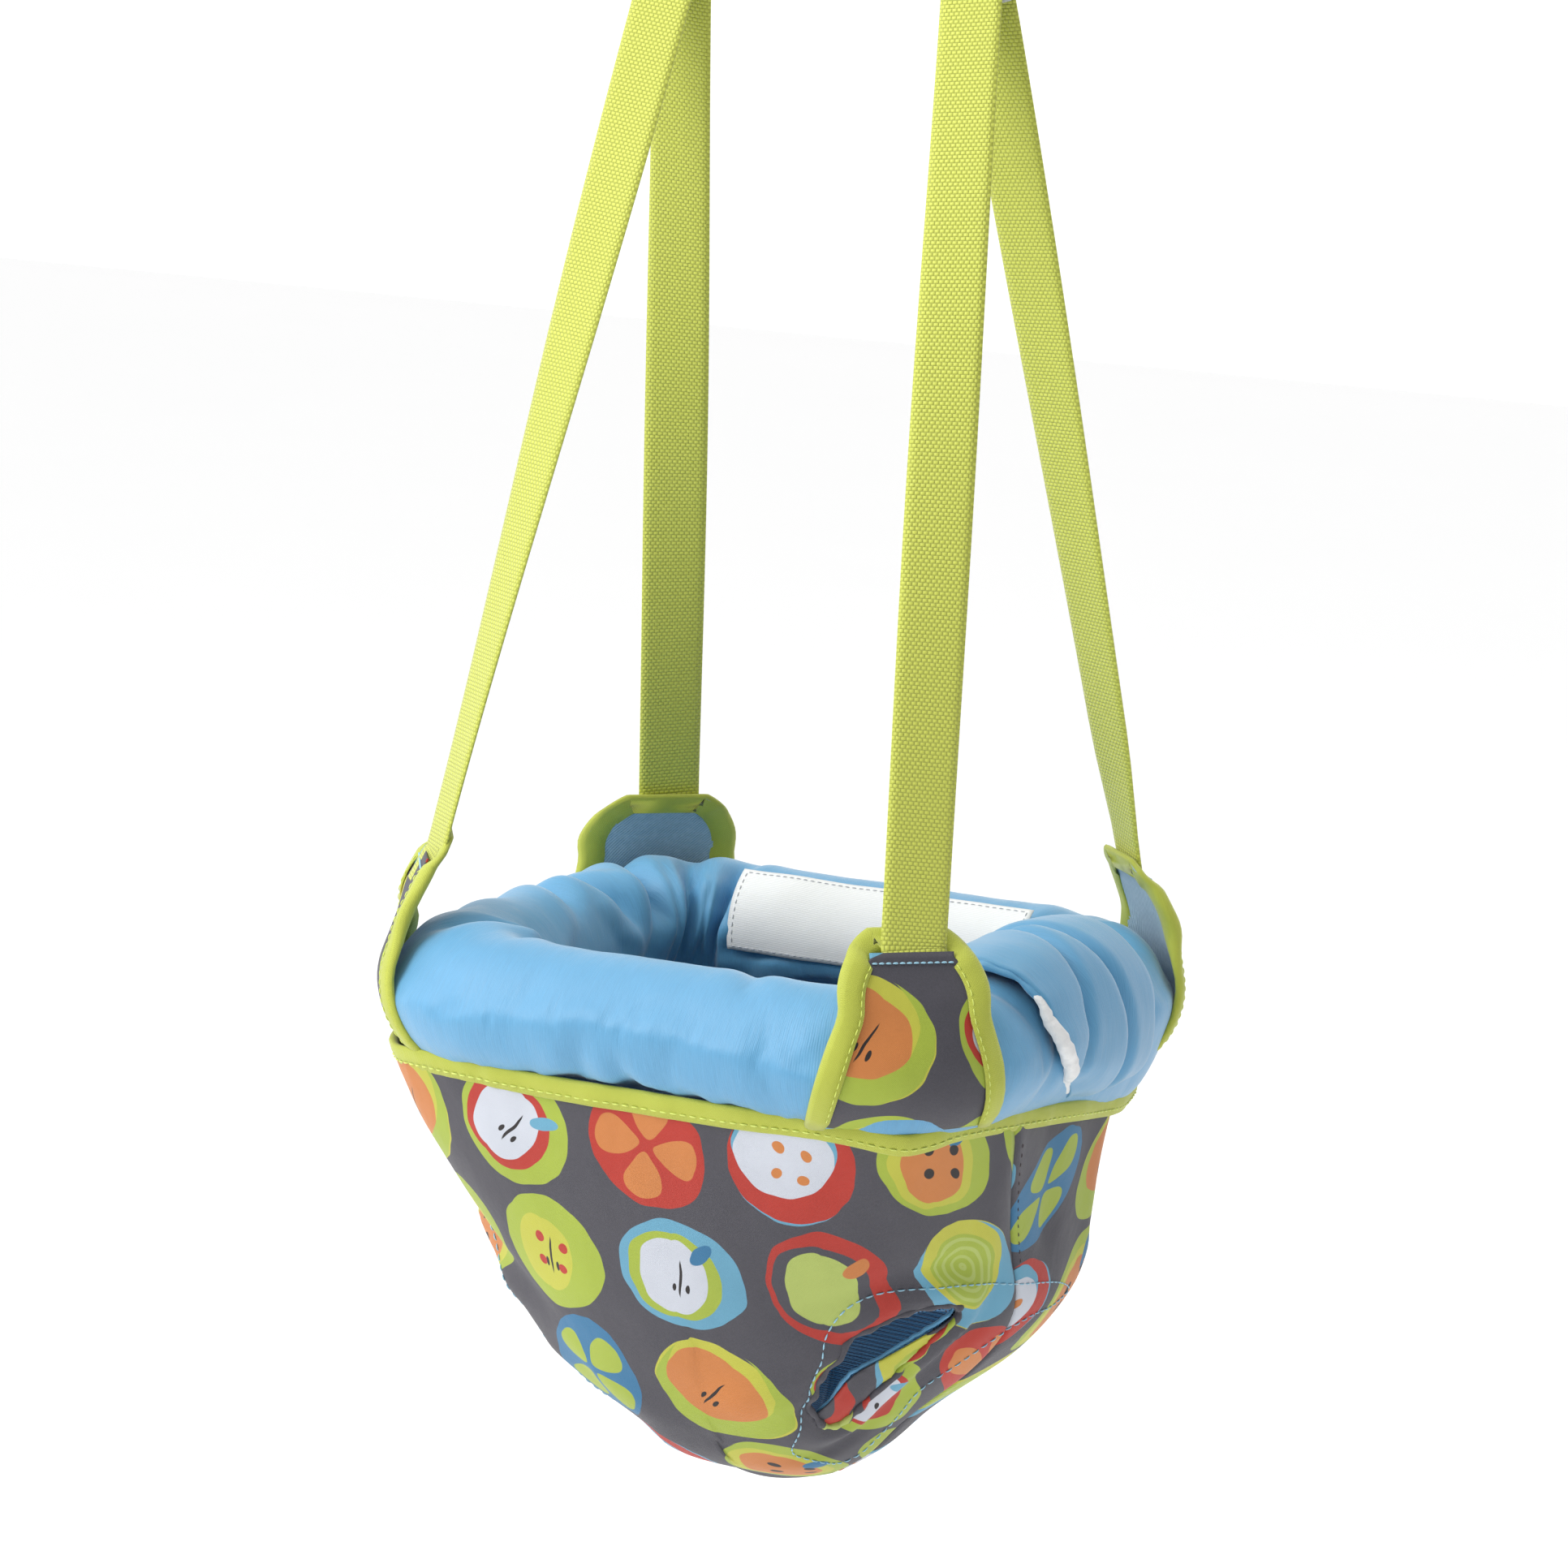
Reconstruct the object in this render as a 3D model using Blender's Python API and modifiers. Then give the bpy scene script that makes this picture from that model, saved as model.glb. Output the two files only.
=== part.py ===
"""Doorway baby jumper: a padded fabric seat on webbing straps, hung from a sprung door clamp.

Frame: origin midway between the door clamp's pads, +Z up, the seat's front towards -Y,
the spacer bar along X. Lengths in metres.
"""

import math

import bmesh
import bpy
from mathutils import Vector

MM = 0.001
GAP = 0.3 * MM                      # running gap between touching pieces

# Door clamp
PAD_GAP = 76 * MM                   # between the pad faces with the clamp closed
PAD_SIZE = (60 * MM, 8 * MM, 44 * MM)
BACKPLATE_T = 4 * MM
BOLT_Z = -100 * MM
BOLT_R = 4 * MM
BOLT_HALF = 17 * MM                 # half of the grip length, under head and nut
BOLT_HEAD_R = 7.5 * MM
BOLT_HEAD_T = 5.4 * MM
BOLT_HEAD_SINK = 0.3 * MM           # the head overlaps its shaft by this much
ARM_T = 5 * MM
ARM_W = 15 * MM
ARM_X = 14 * MM                     # middle of an arm's plate from the centre
ARM_HUB_R = 11 * MM
JAW_KNEE = (24 * MM, 12 * MM)       # where a jaw starts to bend up, outwards and above the bolt
JAW_BEND_R = 26 * MM
JAW_BEND_RISE = 44 * MM             # the bend's middle above the bolt
LEVER_REACH = 43 * MM
LEVER_TOP = 1 * MM                  # a lever's top and underside, from the bolt's height
LEVER_UNDER = -9 * MM
GRIP_START = 27 * MM                # a grip's inner end, from the bolt
GRIP_WALL = 2 * MM
GRIP_END_WALL = 3 * MM
GRIP_LIP = 2.5 * MM
POCKET_START = 15 * MM
TORSION_WIRE_R = 0.75 * MM
TORSION_R = BOLT_R + 2.2 * MM
TORSION_PITCH = 1.9 * MM
TORSION_TURNS = 2.75
TORSION_START = 4.4 * MM            # the first turn's place along the bolt

# Hanger link, spring and its cover
LINK_EYE_R = 10 * MM
LINK_T = 4.8 * MM
LINK_NECK_W = 14 * MM
LINK_BLOCK = (16 * MM, 24 * MM)     # the clevis block's size along X and Y
LINK_MOUTH_W = 10 * MM
SIDE_PIN_Z = -128 * MM
SIDE_PIN_R = 3 * MM
SIDE_PIN_LENGTH = 27 * MM
SPRING_WIRE = 3.4 * MM
SPRING_R = 14 * MM
SPRING_TURNS = 18
SPRING_TOP_Z = -147 * MM
SPRING_PITCH = 5.4 * MM
HOOK_R = 6.5 * MM
LOWER_HOOK_Z = -263 * MM
TETHER_W = 12 * MM
TETHER_T = 1.2 * MM
TETHER_SLACK = 4 * MM               # how far it snakes either way
COVER_WALL = 1 * MM
COVER_RINGS = ((-143, 19), (-146, 23), (-152, 25), (-200, 25), (-244, 25), (-250, 24))   # Z and radius, mm

# Height strap and spacer bar
WEB_W = 25.4 * MM
WEB_T = 1.5 * MM
RING_BAR_R = 2.5 * MM
RING_LINK_HALF_X = 18 * MM
RING_LINK_CORNER_R = 6 * MM
RING_BOTTOM_Z = -285 * MM
STRAP_RUN_Y = 1.4 * MM              # the lower height strap's runs either side of the middle
STRAP_NEST = 1.6 * MM               # room left between the upper strap's runs for the lower one
BUCKLE_Z = -386 * MM
BUCKLE_HALF = (17 * MM, 9 * MM, 11 * MM)
BUCKLE_WAY_HALF = (13.4 * MM, 6.2 * MM)
BAR_LENGTH = 176 * MM
BAR_HEIGHT = 32 * MM
BAR_T = 6 * MM
BAR_Z = -424 * MM
BAR_CORNER_R = 15 * MM
SLOT_W = 29 * MM
SLOT_H = 7 * MM
SLOT_MARGIN = 8 * MM                # the middle slot's top edge below the bar's top
STRAP_X = 66 * MM                   # side slots' centres from the middle of the bar

# Seat ring: the padded roll's centre line is a rounded rectangle
SEAT_Y = 0 * MM                     # ring centre in Y, so that the seat hangs level
RING_Z = -829 * MM
RING_HALF_X = 110 * MM
RING_HALF_Y = 98 * MM
RING_CORNER_R = 45 * MM
CORE_R = 27.5 * MM
COVER_T = 1.3 * MM
ROLL_R = 30 * MM
FLAP_ROWS = (-44, -30, -15, 0)      # Y of the closing sleeve's rows, mm from the ring's centre
LABEL_ENDS = (-62 * MM, 64 * MM)

# Tabs and where the side straps leave them
TAB_TOP = 46 * MM                   # above the ring's centre plane
TAB_HALF_FOOT = 41 * MM
TAB_HALF_TOP = 25 * MM
TAB_CROWN = 0.72                    # share of a tab's length where its rounded top begins
TAB_WRAP = (math.radians(-40), math.radians(32))   # where a tab starts on the roll and leaves it
STRAP_FOOT = (14.4 * MM, 38 * MM)   # outwards from the roll's centre, and up
TAB_LAYER_T = 0.8 * MM
TAB_LINING_LIFT = 0.7 * MM          # each layer's height over the roll
TAB_PANEL_LIFT = 3.7 * MM

# Bucket
RIM_DROP = 27 * MM
RIM_TAPE_H = 11 * MM
RIM_TAPE_T = 1.4 * MM
RIM_TAPE_CLEAR = 0.6 * MM
SHELL_T = 1.5 * MM
LINING_T = 1.0 * MM
LEG_CENTRE = (-12 * MM, -143 * MM)  # Y and height of a leg opening's middle
LEG_HALF = (56 * MM, 45 * MM)
LEG_LEAN = math.radians(18)         # an opening tips down towards the front
LEG_SKEW = 0.6
LEG_HEM_R = 1.8 * MM
CROTCH_CUT = (18 * MM, 160 * MM)    # a leg cutter's ends: the crotch panel stays between them

# Half sections of the bucket, by depth below the ring's centre plane, in millimetres:
# depth, front Y, front half width, side half width, side's front Y, side's back Y,
# back half width, back Y
BUCKET_LEVELS = (
    (27, 119, 94, 131, -82, 82, 94, 119),
    (60, 112, 84, 125, -60, 66, 88, 113),
    (92, 103, 74, 117, -34, 58, 84, 106),
    (120, 94, 62, 112, -16, 54, 82, 101),
    (145, 83, 50, 94, -12, 46, 66, 86),
    (168, 67, 41, 64, -7, 34, 43, 63),
    (186, 46, 29, 41, -3, 24, 30, 48),
    (196, 20, 15, 26, 0, 16, 16, 31),
)

COLOURS = {
    "webbing": ((0.58, 0.68, 0.06), 0.75, 0.0),
    "binding": ((0.52, 0.62, 0.03), 0.7, 0.0),
    "satin": ((0.10, 0.42, 0.72), 0.38, 0.0),
    "print": ((0.15, 0.13, 0.16), 0.65, 0.0),
    "mesh": ((0.04, 0.17, 0.42), 0.8, 0.0),
    "twill": ((0.30, 0.47, 0.60), 0.8, 0.0),
    "foam": ((0.85, 0.84, 0.80), 0.9, 0.0),
    "label": ((0.9, 0.9, 0.9), 0.6, 0.0),
    "plastic": ((0.55, 0.57, 0.60), 0.45, 0.0),
    "steel": ((0.62, 0.63, 0.65), 0.3, 1.0),
    "painted_steel": ((0.80, 0.81, 0.82), 0.4, 0.0),
    "rubber": ((0.03, 0.03, 0.035), 0.8, 0.0),
    "cover": ((0.10, 0.42, 0.72), 0.6, 0.0),
}


# ---------------------------------------------------------------- helpers

def clear_scene():
    for item in list(bpy.data.objects):
        bpy.data.objects.remove(item, do_unlink=True)


def new_collection(name):
    group = bpy.data.collections.new(name)
    bpy.context.scene.collection.children.link(group)
    return group


def material(name):
    found = bpy.data.materials.get(name)
    if found:
        return found
    colour, roughness, metallic = COLOURS[name]
    made = bpy.data.materials.new(name)
    made.use_nodes = True
    shader = made.node_tree.nodes["Principled BSDF"]
    shader.inputs["Base Color"].default_value = (*colour, 1.0)
    shader.inputs["Roughness"].default_value = roughness
    shader.inputs["Metallic"].default_value = metallic
    return made


def add_object(name, data, finish, smooth=True):
    item = bpy.data.objects.new(name, data)
    PARTS.objects.link(item)
    data.materials.append(material(finish))
    if smooth and isinstance(data, bpy.types.Mesh):
        data.shade_smooth()
        data.set_sharp_from_angle(angle=math.radians(40))
    return item


def mesh_from_bmesh(name, bm):
    bmesh.ops.recalc_face_normals(bm, faces=bm.faces)
    data = bpy.data.meshes.new(name)
    bm.to_mesh(data)
    bm.free()
    return data


def box_bmesh(low, high):
    bm = bmesh.new()
    bmesh.ops.create_cube(bm, size=1.0)
    for vert in bm.verts:
        vert.co = Vector([(a + b) / 2 + c * (b - a) for a, b, c in zip(low, high, vert.co)])
    return bm


def rod_bmesh(centre, radius, length, axis, segments=24):
    """A cylinder along X, Y or Z, centred on a point."""
    bm = bmesh.new()
    bmesh.ops.create_cone(bm, cap_ends=True, segments=segments, radius1=radius,
                          radius2=radius, depth=length)
    turn = Vector((0, 0, 1)).rotation_difference(Vector(axis))
    for vert in bm.verts:
        vert.co = turn @ vert.co + Vector(centre)
    return bm


def cutter(name, bm):
    item = bpy.data.objects.new(name, mesh_from_bmesh(name, bm))
    CUTTERS.objects.link(item)
    item.hide_render = True
    item.display_type = "WIRE"
    return item


def boolean(item, tool, operation):
    step = item.modifiers.new(operation.lower(), "BOOLEAN")
    step.operation = operation
    step.solver = "EXACT"
    step.object = tool


def tube(name, points, radius, finish, cyclic=False, resolution=2):
    curve = bpy.data.curves.new(name, "CURVE")
    curve.dimensions = "3D"
    curve.bevel_depth = radius
    curve.bevel_resolution = resolution
    curve.use_fill_caps = True
    spline = curve.splines.new("POLY")
    spline.points.add(len(points) - 1)
    for place, point in zip(spline.points, points):
        place.co = (*point, 1.0)
    spline.use_cyclic_u = cyclic
    return add_object(name, curve, finish)


def flat_plate(name, outline, thickness, x_middle, finish):
    """A flat plate across X, from an outline of (y, z) points."""
    curve = bpy.data.curves.new(name, "CURVE")
    curve.dimensions = "2D"
    curve.fill_mode = "BOTH"
    curve.extrude = thickness / 2
    spline = curve.splines.new("POLY")
    spline.points.add(len(outline) - 1)
    for place, (y, z) in zip(spline.points, outline):
        place.co = (y, z, 0.0, 1.0)
    spline.use_cyclic_u = True
    guide = bpy.data.objects.new(name + "_outline", curve)
    PARTS.objects.link(guide)
    guide.rotation_euler = (math.pi / 2, 0.0, math.pi / 2)
    guide.location = (x_middle, 0.0, 0.0)
    bpy.context.view_layer.update()
    ready = guide.evaluated_get(bpy.context.evaluated_depsgraph_get())
    data = bpy.data.meshes.new_from_object(ready)
    data.name = name
    bm = bmesh.new()
    bm.from_mesh(data)
    bmesh.ops.remove_doubles(bm, verts=bm.verts, dist=0.01 * MM)
    bmesh.ops.transform(bm, matrix=guide.matrix_world, verts=bm.verts)
    bmesh.ops.recalc_face_normals(bm, faces=bm.faces)
    bm.to_mesh(data)
    bm.free()
    bpy.data.objects.remove(guide)
    data.materials.clear()
    return add_object(name, data, finish)


def loft(name, sections, finish, closed=False):
    """Skins equal-sized rings of points into one closed body, capped unless it closes."""
    bm = bmesh.new()
    rings = [[bm.verts.new(point) for point in ring] for ring in sections]
    count = len(rings[0])
    pairs = list(zip(rings, rings[1:]))
    if closed:
        pairs.append((rings[-1], rings[0]))
    for lower, upper in pairs:
        for i in range(count):
            j = (i + 1) % count
            bm.faces.new((lower[i], lower[j], upper[j], upper[i]))
    if not closed:
        bm.faces.new(rings[0])
        bm.faces.new(reversed(rings[-1]))
    return add_object(name, mesh_from_bmesh(name, bm), finish)


def fabric_sheet(name, rows, thickness, finish, wrap=False, grow=1.0):
    """An open surface through rows of points, thickened outwards (grow 1) or inwards (-1)."""
    bm = bmesh.new()
    grid = [[bm.verts.new(point) for point in row] for row in rows]
    across = len(grid[0])
    for lower, upper in zip(grid, grid[1:]):
        for i in range(across if wrap else across - 1):
            j = (i + 1) % across
            bm.faces.new((lower[i], lower[j], upper[j], upper[i]))
    data = bpy.data.meshes.new(name)
    bm.to_mesh(data)
    bm.free()
    item = add_object(name, data, finish)
    skin = item.modifiers.new("thickness", "SOLIDIFY")
    skin.thickness = thickness
    skin.offset = grow
    return item


def ribbon(name, centres, across, finish, width=WEB_W, thickness=WEB_T):
    """Flat webbing along a path; across gives the width's direction at each point."""
    sections = []
    last = len(centres) - 1
    for i, (centre, side) in enumerate(zip(centres, across)):
        along = (centres[min(i + 1, last)] - centres[max(i - 1, 0)]).normalized()
        side = (side - along * side.dot(along)).normalized()
        face = along.cross(side)
        half, rise = side * width / 2, face * thickness / 2
        sections.append([centre - half - rise, centre + half - rise,
                         centre + half + rise, centre - half + rise])
    return loft(name, sections, finish)


def smoothstep(t):
    t = min(max(t, 0.0), 1.0)
    return t * t * (3 - 2 * t)


def rounded_rectangle(half_x, half_y, radius, per_corner=8, per_side=4):
    """Points round a rounded rectangle, counter-clockwise, with the straight sides divided."""
    points = []
    for quarter in range(4):
        middle = math.radians(45 + 90 * quarter)
        cx = math.copysign(half_x - radius, math.cos(middle))
        cy = math.copysign(half_y - radius, math.sin(middle))
        for i in range(per_corner + 1):
            angle = math.radians(90 * quarter + 90 * i / per_corner)
            points.append(Vector((cx + radius * math.cos(angle), cy + radius * math.sin(angle))))
    full = []
    for i, point in enumerate(points):
        full.append(point)
        if i % (per_corner + 1) == per_corner:
            after = points[(i + 1) % len(points)]
            full += [point.lerp(after, k / per_side) for k in range(1, per_side)]
    return full


def band_outline(centres, width):
    """Both edges of a flat band of constant width along (y, z) points."""
    left, right = [], []
    last = len(centres) - 1
    for i, centre in enumerate(centres):
        along = (Vector(centres[min(i + 1, last)]) - Vector(centres[max(i - 1, 0)])).normalized()
        normal = Vector((-along.y, along.x)) * width / 2
        left.append(Vector(centre) + normal)
        right.append(Vector(centre) - normal)
    return left + right[::-1]


# ---------------------------------------------------------------- door clamp

def side_box(low_x, high_x, side, near_y, far_y, low_z, high_z):
    """A box between two distances from the middle, on the front (-1) or back (+1) side."""
    ys = sorted((side * near_y, side * far_y))
    return box_bmesh((low_x, ys[0], low_z), (high_x, ys[1], high_z))


def clamp_arm(side, name):
    """side -1 is the front arm, +1 the back one; their plates lie either side of the link."""
    x = side * ARM_X
    face_y = PAD_GAP / 2 + PAD_SIZE[1] + GAP
    outer_y = face_y + BACKPLATE_T
    half_x, half_z = PAD_SIZE[0] / 2, PAD_SIZE[2] / 2
    bow = outer_y + ARM_W / 2 - 1 * MM
    path = [(0.0, BOLT_Z), (side * JAW_KNEE[0], BOLT_Z + JAW_KNEE[1])]
    for i in range(7):
        angle = math.radians(-60 + 60 * i / 6)
        path.append((side * (bow - JAW_BEND_R + JAW_BEND_R * math.cos(angle)),
                     BOLT_Z + JAW_BEND_RISE + JAW_BEND_R * math.sin(angle)))
    path.append((side * bow, half_z - 6 * MM))
    arm = flat_plate(name, band_outline(path, ARM_W), ARM_T, x, "painted_steel")
    lever = side_box(x - ARM_T / 2, x + ARM_T / 2, side, 0.0, LEVER_REACH,
                     BOLT_Z + LEVER_UNDER, BOLT_Z + LEVER_TOP)
    boolean(arm, cutter(name + "_lever", lever), "UNION")
    hub = rod_bmesh((x, 0, BOLT_Z), ARM_HUB_R, ARM_T, (1, 0, 0), 32)
    boolean(arm, cutter(name + "_hub", hub), "UNION")
    plate = side_box(-half_x, half_x, side, face_y, outer_y, -half_z, half_z)
    boolean(arm, cutter(name + "_backplate", plate), "UNION")
    hole = rod_bmesh((x, 0, BOLT_Z), BOLT_R + GAP, 3 * ARM_T, (1, 0, 0), 32)
    boolean(arm, cutter(name + "_hole", hole), "DIFFERENCE")


def rounded_edges(item, width):
    edges = item.modifiers.new("edges", "BEVEL")
    edges.width = width
    edges.segments = 2
    return edges


def clamp_pad(side, name):
    half_x, half_z = PAD_SIZE[0] / 2, PAD_SIZE[2] / 2
    block = side_box(-half_x, half_x, side, PAD_GAP / 2, PAD_GAP / 2 + PAD_SIZE[1], -half_z, half_z)
    pad = add_object(name, mesh_from_bmesh(name, block), "rubber")
    rounded_edges(pad, 2 * MM)


def lever_grip(side, name):
    """Vinyl sleeve over the end of an arm's lever."""
    x = side * ARM_X
    half = ARM_T / 2
    under, top = BOLT_Z + LEVER_UNDER, BOLT_Z + LEVER_TOP
    block = side_box(x - half - GRIP_WALL, x + half + GRIP_WALL, side, GRIP_START,
                     LEVER_REACH + GRIP_END_WALL, under - GRIP_LIP, top + GRIP_LIP)
    grip = add_object(name, mesh_from_bmesh(name, block), "rubber")
    rounded_edges(grip, 1.5 * MM)
    pocket = side_box(x - half - GAP, x + half + GAP, side, POCKET_START, LEVER_REACH + GAP,
                      under - GAP, top + GAP)
    boolean(grip, cutter(name + "_pocket", pocket), "DIFFERENCE")


def clamp_bolt():
    head_x = BOLT_HALF + BOLT_HEAD_T / 2 + BOLT_HEAD_SINK
    shaft = rod_bmesh((0, 0, BOLT_Z), BOLT_R, 2 * BOLT_HALF + 12 * MM, (1, 0, 0))
    bolt = add_object("pivot_bolt", mesh_from_bmesh("pivot_bolt", shaft), "steel")
    head = rod_bmesh((head_x, 0, BOLT_Z), BOLT_HEAD_R, BOLT_HEAD_T, (1, 0, 0), 6)
    boolean(bolt, cutter("bolt_head", head), "UNION")
    blank = rod_bmesh((-head_x, 0, BOLT_Z), BOLT_HEAD_R, BOLT_HEAD_T, (1, 0, 0), 6)
    nut = add_object("pivot_nut", mesh_from_bmesh("pivot_nut", blank), "steel")
    bore = rod_bmesh((-head_x, 0, BOLT_Z), BOLT_R + GAP, 2 * BOLT_HEAD_T, (1, 0, 0))
    boolean(nut, cutter("nut_bore", bore), "DIFFERENCE")


def torsion_spring(side, name):
    """A short coil on the bolt, which pulls the clamp shut."""
    points = []
    per_turn = 10
    for i in range(int(TORSION_TURNS * per_turn) + 1):
        angle = 2 * math.pi * i / per_turn
        points.append((side * (TORSION_START + TORSION_PITCH * i / per_turn),
                       TORSION_R * math.cos(angle), BOLT_Z + TORSION_R * math.sin(angle)))
    tube(name, points, TORSION_WIRE_R, "steel", resolution=1)


# ---------------------------------------------------------------- hanger, spring, cover

def hanger():
    """The link that swings on the clamp bolt and carries the side pin in a clevis."""
    half_x, half_y = LINK_BLOCK[0] / 2, LINK_BLOCK[1] / 2
    eye = rod_bmesh((0, 0, BOLT_Z), LINK_EYE_R, LINK_T, (1, 0, 0), 32)
    link = add_object("swing_link", mesh_from_bmesh("swing_link", eye), "painted_steel")
    neck = box_bmesh((-LINK_T / 2, -LINK_NECK_W / 2, SIDE_PIN_Z + 9 * MM),
                     (LINK_T / 2, LINK_NECK_W / 2, BOLT_Z))
    boolean(link, cutter("link_neck", neck), "UNION")
    block = box_bmesh((-half_x, -half_y, SIDE_PIN_Z - 7 * MM), (half_x, half_y, SIDE_PIN_Z + 13 * MM))
    boolean(link, cutter("link_block", block), "UNION")
    bore = rod_bmesh((0, 0, BOLT_Z), BOLT_R + GAP, 2.5 * LINK_T, (1, 0, 0))
    boolean(link, cutter("link_bore", bore), "DIFFERENCE")
    mouth = box_bmesh((-half_x - 2 * MM, -LINK_MOUTH_W / 2, SIDE_PIN_Z - 12 * MM),
                      (half_x + 2 * MM, LINK_MOUTH_W / 2, SIDE_PIN_Z + 10 * MM))
    boolean(link, cutter("link_mouth", mouth), "DIFFERENCE")
    hole = rod_bmesh((0, 0, SIDE_PIN_Z), SIDE_PIN_R + GAP, SIDE_PIN_LENGTH + 3 * MM, (0, 1, 0))
    boolean(link, cutter("pin_hole", hole), "DIFFERENCE")
    pin = rod_bmesh((0, 0, SIDE_PIN_Z), SIDE_PIN_R, SIDE_PIN_LENGTH, (0, 1, 0))
    add_object("side_pin", mesh_from_bmesh("side_pin", pin), "steel")


def hook_arc(centre_z, across, upper):
    """Points round a spring end's hook, from its open tip to the neck beside the coil."""
    points = []
    for i in range(13):
        angle = math.radians(-30 + 300 * i / 12)
        level = math.sin(angle) if upper else -math.sin(angle)
        points.append(across * HOOK_R * math.cos(angle) + Vector((0, 0, centre_z + HOOK_R * level)))
    return points


def bounce_spring():
    per_turn = 10
    top = hook_arc(SIDE_PIN_Z, Vector((1, 0, 0)), True)
    coil = []
    steps = SPRING_TURNS * per_turn
    for i in range(-per_turn // 2, steps + per_turn // 2 + 1):
        angle = 2 * math.pi * i / per_turn
        ends = min(i + per_turn // 2, steps + per_turn // 2 - i) / (per_turn // 2)
        radius = SPRING_R * max(0.15, smoothstep(min(1.0, ends)))
        coil.append(Vector((radius * math.cos(angle), radius * math.sin(angle),
                            SPRING_TOP_Z - SPRING_PITCH * i / per_turn)))
    bottom = hook_arc(LOWER_HOOK_Z, Vector((0, 1, 0)), False)[::-1]
    tube("bounce_spring", top + coil + bottom, SPRING_WIRE / 2, "steel", resolution=1)


def spring_cover():
    """A fabric sleeve round the spring, drawn in at the top."""
    rows, around = [], 28
    for z, radius in COVER_RINGS:
        turns = [2 * math.pi * i / around for i in range(around)]
        rows.append([Vector((radius * math.cos(a), radius * math.sin(a), z)) * MM for a in turns])
    fabric_sheet("spring_cover", rows, COVER_WALL, "cover", wrap=True)


def safety_tether():
    """A slack webbing tether inside the spring, which stops it over-stretching."""
    centres = []
    steps = 20
    top, bottom = SPRING_TOP_Z - 8 * MM, LOWER_HOOK_Z + 26 * MM
    for i in range(steps + 1):
        t = i / steps
        centres.append(Vector((0, TETHER_SLACK * math.sin(4 * math.pi * t), top + (bottom - top) * t)))
    across = [Vector((1, 0, 0))] * len(centres)
    ribbon("safety_tether", centres, across, "webbing", TETHER_W, TETHER_T)


# ---------------------------------------------------------------- height strap and bar

def lower_ring():
    middle, half_z = (LOWER_HOOK_Z + RING_BOTTOM_Z) / 2, (LOWER_HOOK_Z - RING_BOTTOM_Z) / 2
    outline = rounded_rectangle(RING_LINK_HALF_X, half_z, RING_LINK_CORNER_R, 4, 2)
    tube("lower_ring", [(x, 0.0, middle + z) for x, z in outline], RING_BAR_R, "steel", True)


def strap_loop(name, top_z, leg_y, end_z):
    """Webbing over a bar: up the front, over the top and down the back."""
    down = [Vector((0, leg_y, (end_z + top_z) / 2)), Vector((0, leg_y, end_z))]
    centres = [Vector((p.x, -p.y, p.z)) for p in reversed(down)]
    steps = 8
    for i in range(steps + 1):
        angle = math.pi * (1 - i / steps)
        centres.append(Vector((0, leg_y * math.cos(angle), top_z + leg_y * math.sin(angle))))
    centres += down
    ribbon(name, centres, [Vector((1, 0, 0))] * len(centres), "webbing")


def middle_slot_z():
    return BAR_Z + BAR_HEIGHT / 2 - SLOT_MARGIN - SLOT_H / 2


def height_straps():
    """The upper run hangs on the steel ring's lower bar; the lower run telescopes inside it."""
    hold_r = RING_BAR_R + WEB_T / 2 + GAP
    strap_loop("height_strap_upper", RING_BOTTOM_Z, hold_r + STRAP_NEST, BUCKLE_Z - 8 * MM)
    under = BAR_T / 2 + WEB_T / 2 + GAP
    centres = [Vector((0, -STRAP_RUN_Y, RING_BOTTOM_Z - 14 * MM)), Vector((0, -STRAP_RUN_Y, BUCKLE_Z)),
               Vector((0, -under, BAR_Z + BAR_HEIGHT / 2 + 2 * MM))]
    back = [Vector((p.x, -p.y, p.z)) for p in reversed(centres)]
    bend_z, flatten, steps = middle_slot_z() + 2.6 * MM, 0.72, 8
    for i in range(steps + 1):
        angle = math.pi * (1 + i / steps)
        centres.append(Vector((0, under * math.cos(angle), bend_z + under * math.sin(angle) * flatten)))
    centres += back
    ribbon("height_strap_lower", centres, [Vector((1, 0, 0))] * len(centres), "webbing")


def adjuster_buckle():
    half_x, half_y, half_z = BUCKLE_HALF
    frame = box_bmesh((-half_x, -half_y, BUCKLE_Z - half_z), (half_x, half_y, BUCKLE_Z + half_z))
    buckle = add_object("adjuster_buckle", mesh_from_bmesh("adjuster_buckle", frame), "plastic")
    rounded_edges(buckle, 1.5 * MM)
    way_x, way_y = BUCKLE_WAY_HALF
    way = box_bmesh((-way_x, -way_y, BUCKLE_Z - 2 * half_z), (way_x, way_y, BUCKLE_Z + 2 * half_z))
    boolean(buckle, cutter("buckle_way", way), "DIFFERENCE")


def spacer_bar():
    outline = rounded_rectangle(BAR_LENGTH / 2, BAR_HEIGHT / 2, BAR_CORNER_R, 8, 2)
    sections = [[Vector((x, y, BAR_Z + z)) for x, z in outline] for y in (-BAR_T / 2, BAR_T / 2)]
    bar = loft("spacer_bar", sections, "plastic")
    rounded_edges(bar, 1.2 * MM).limit_method = "ANGLE"
    slots = {"middle": (0.0, middle_slot_z()), "left": (-STRAP_X, BAR_Z), "right": (STRAP_X, BAR_Z)}
    for name, (x, z) in slots.items():
        low = (x - SLOT_W / 2, -2 * BAR_T, z - SLOT_H / 2)
        high = (x + SLOT_W / 2, 2 * BAR_T, z + SLOT_H / 2)
        boolean(bar, cutter("slot_" + name, box_bmesh(low, high)), "DIFFERENCE")


# ---------------------------------------------------------------- seat

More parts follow.
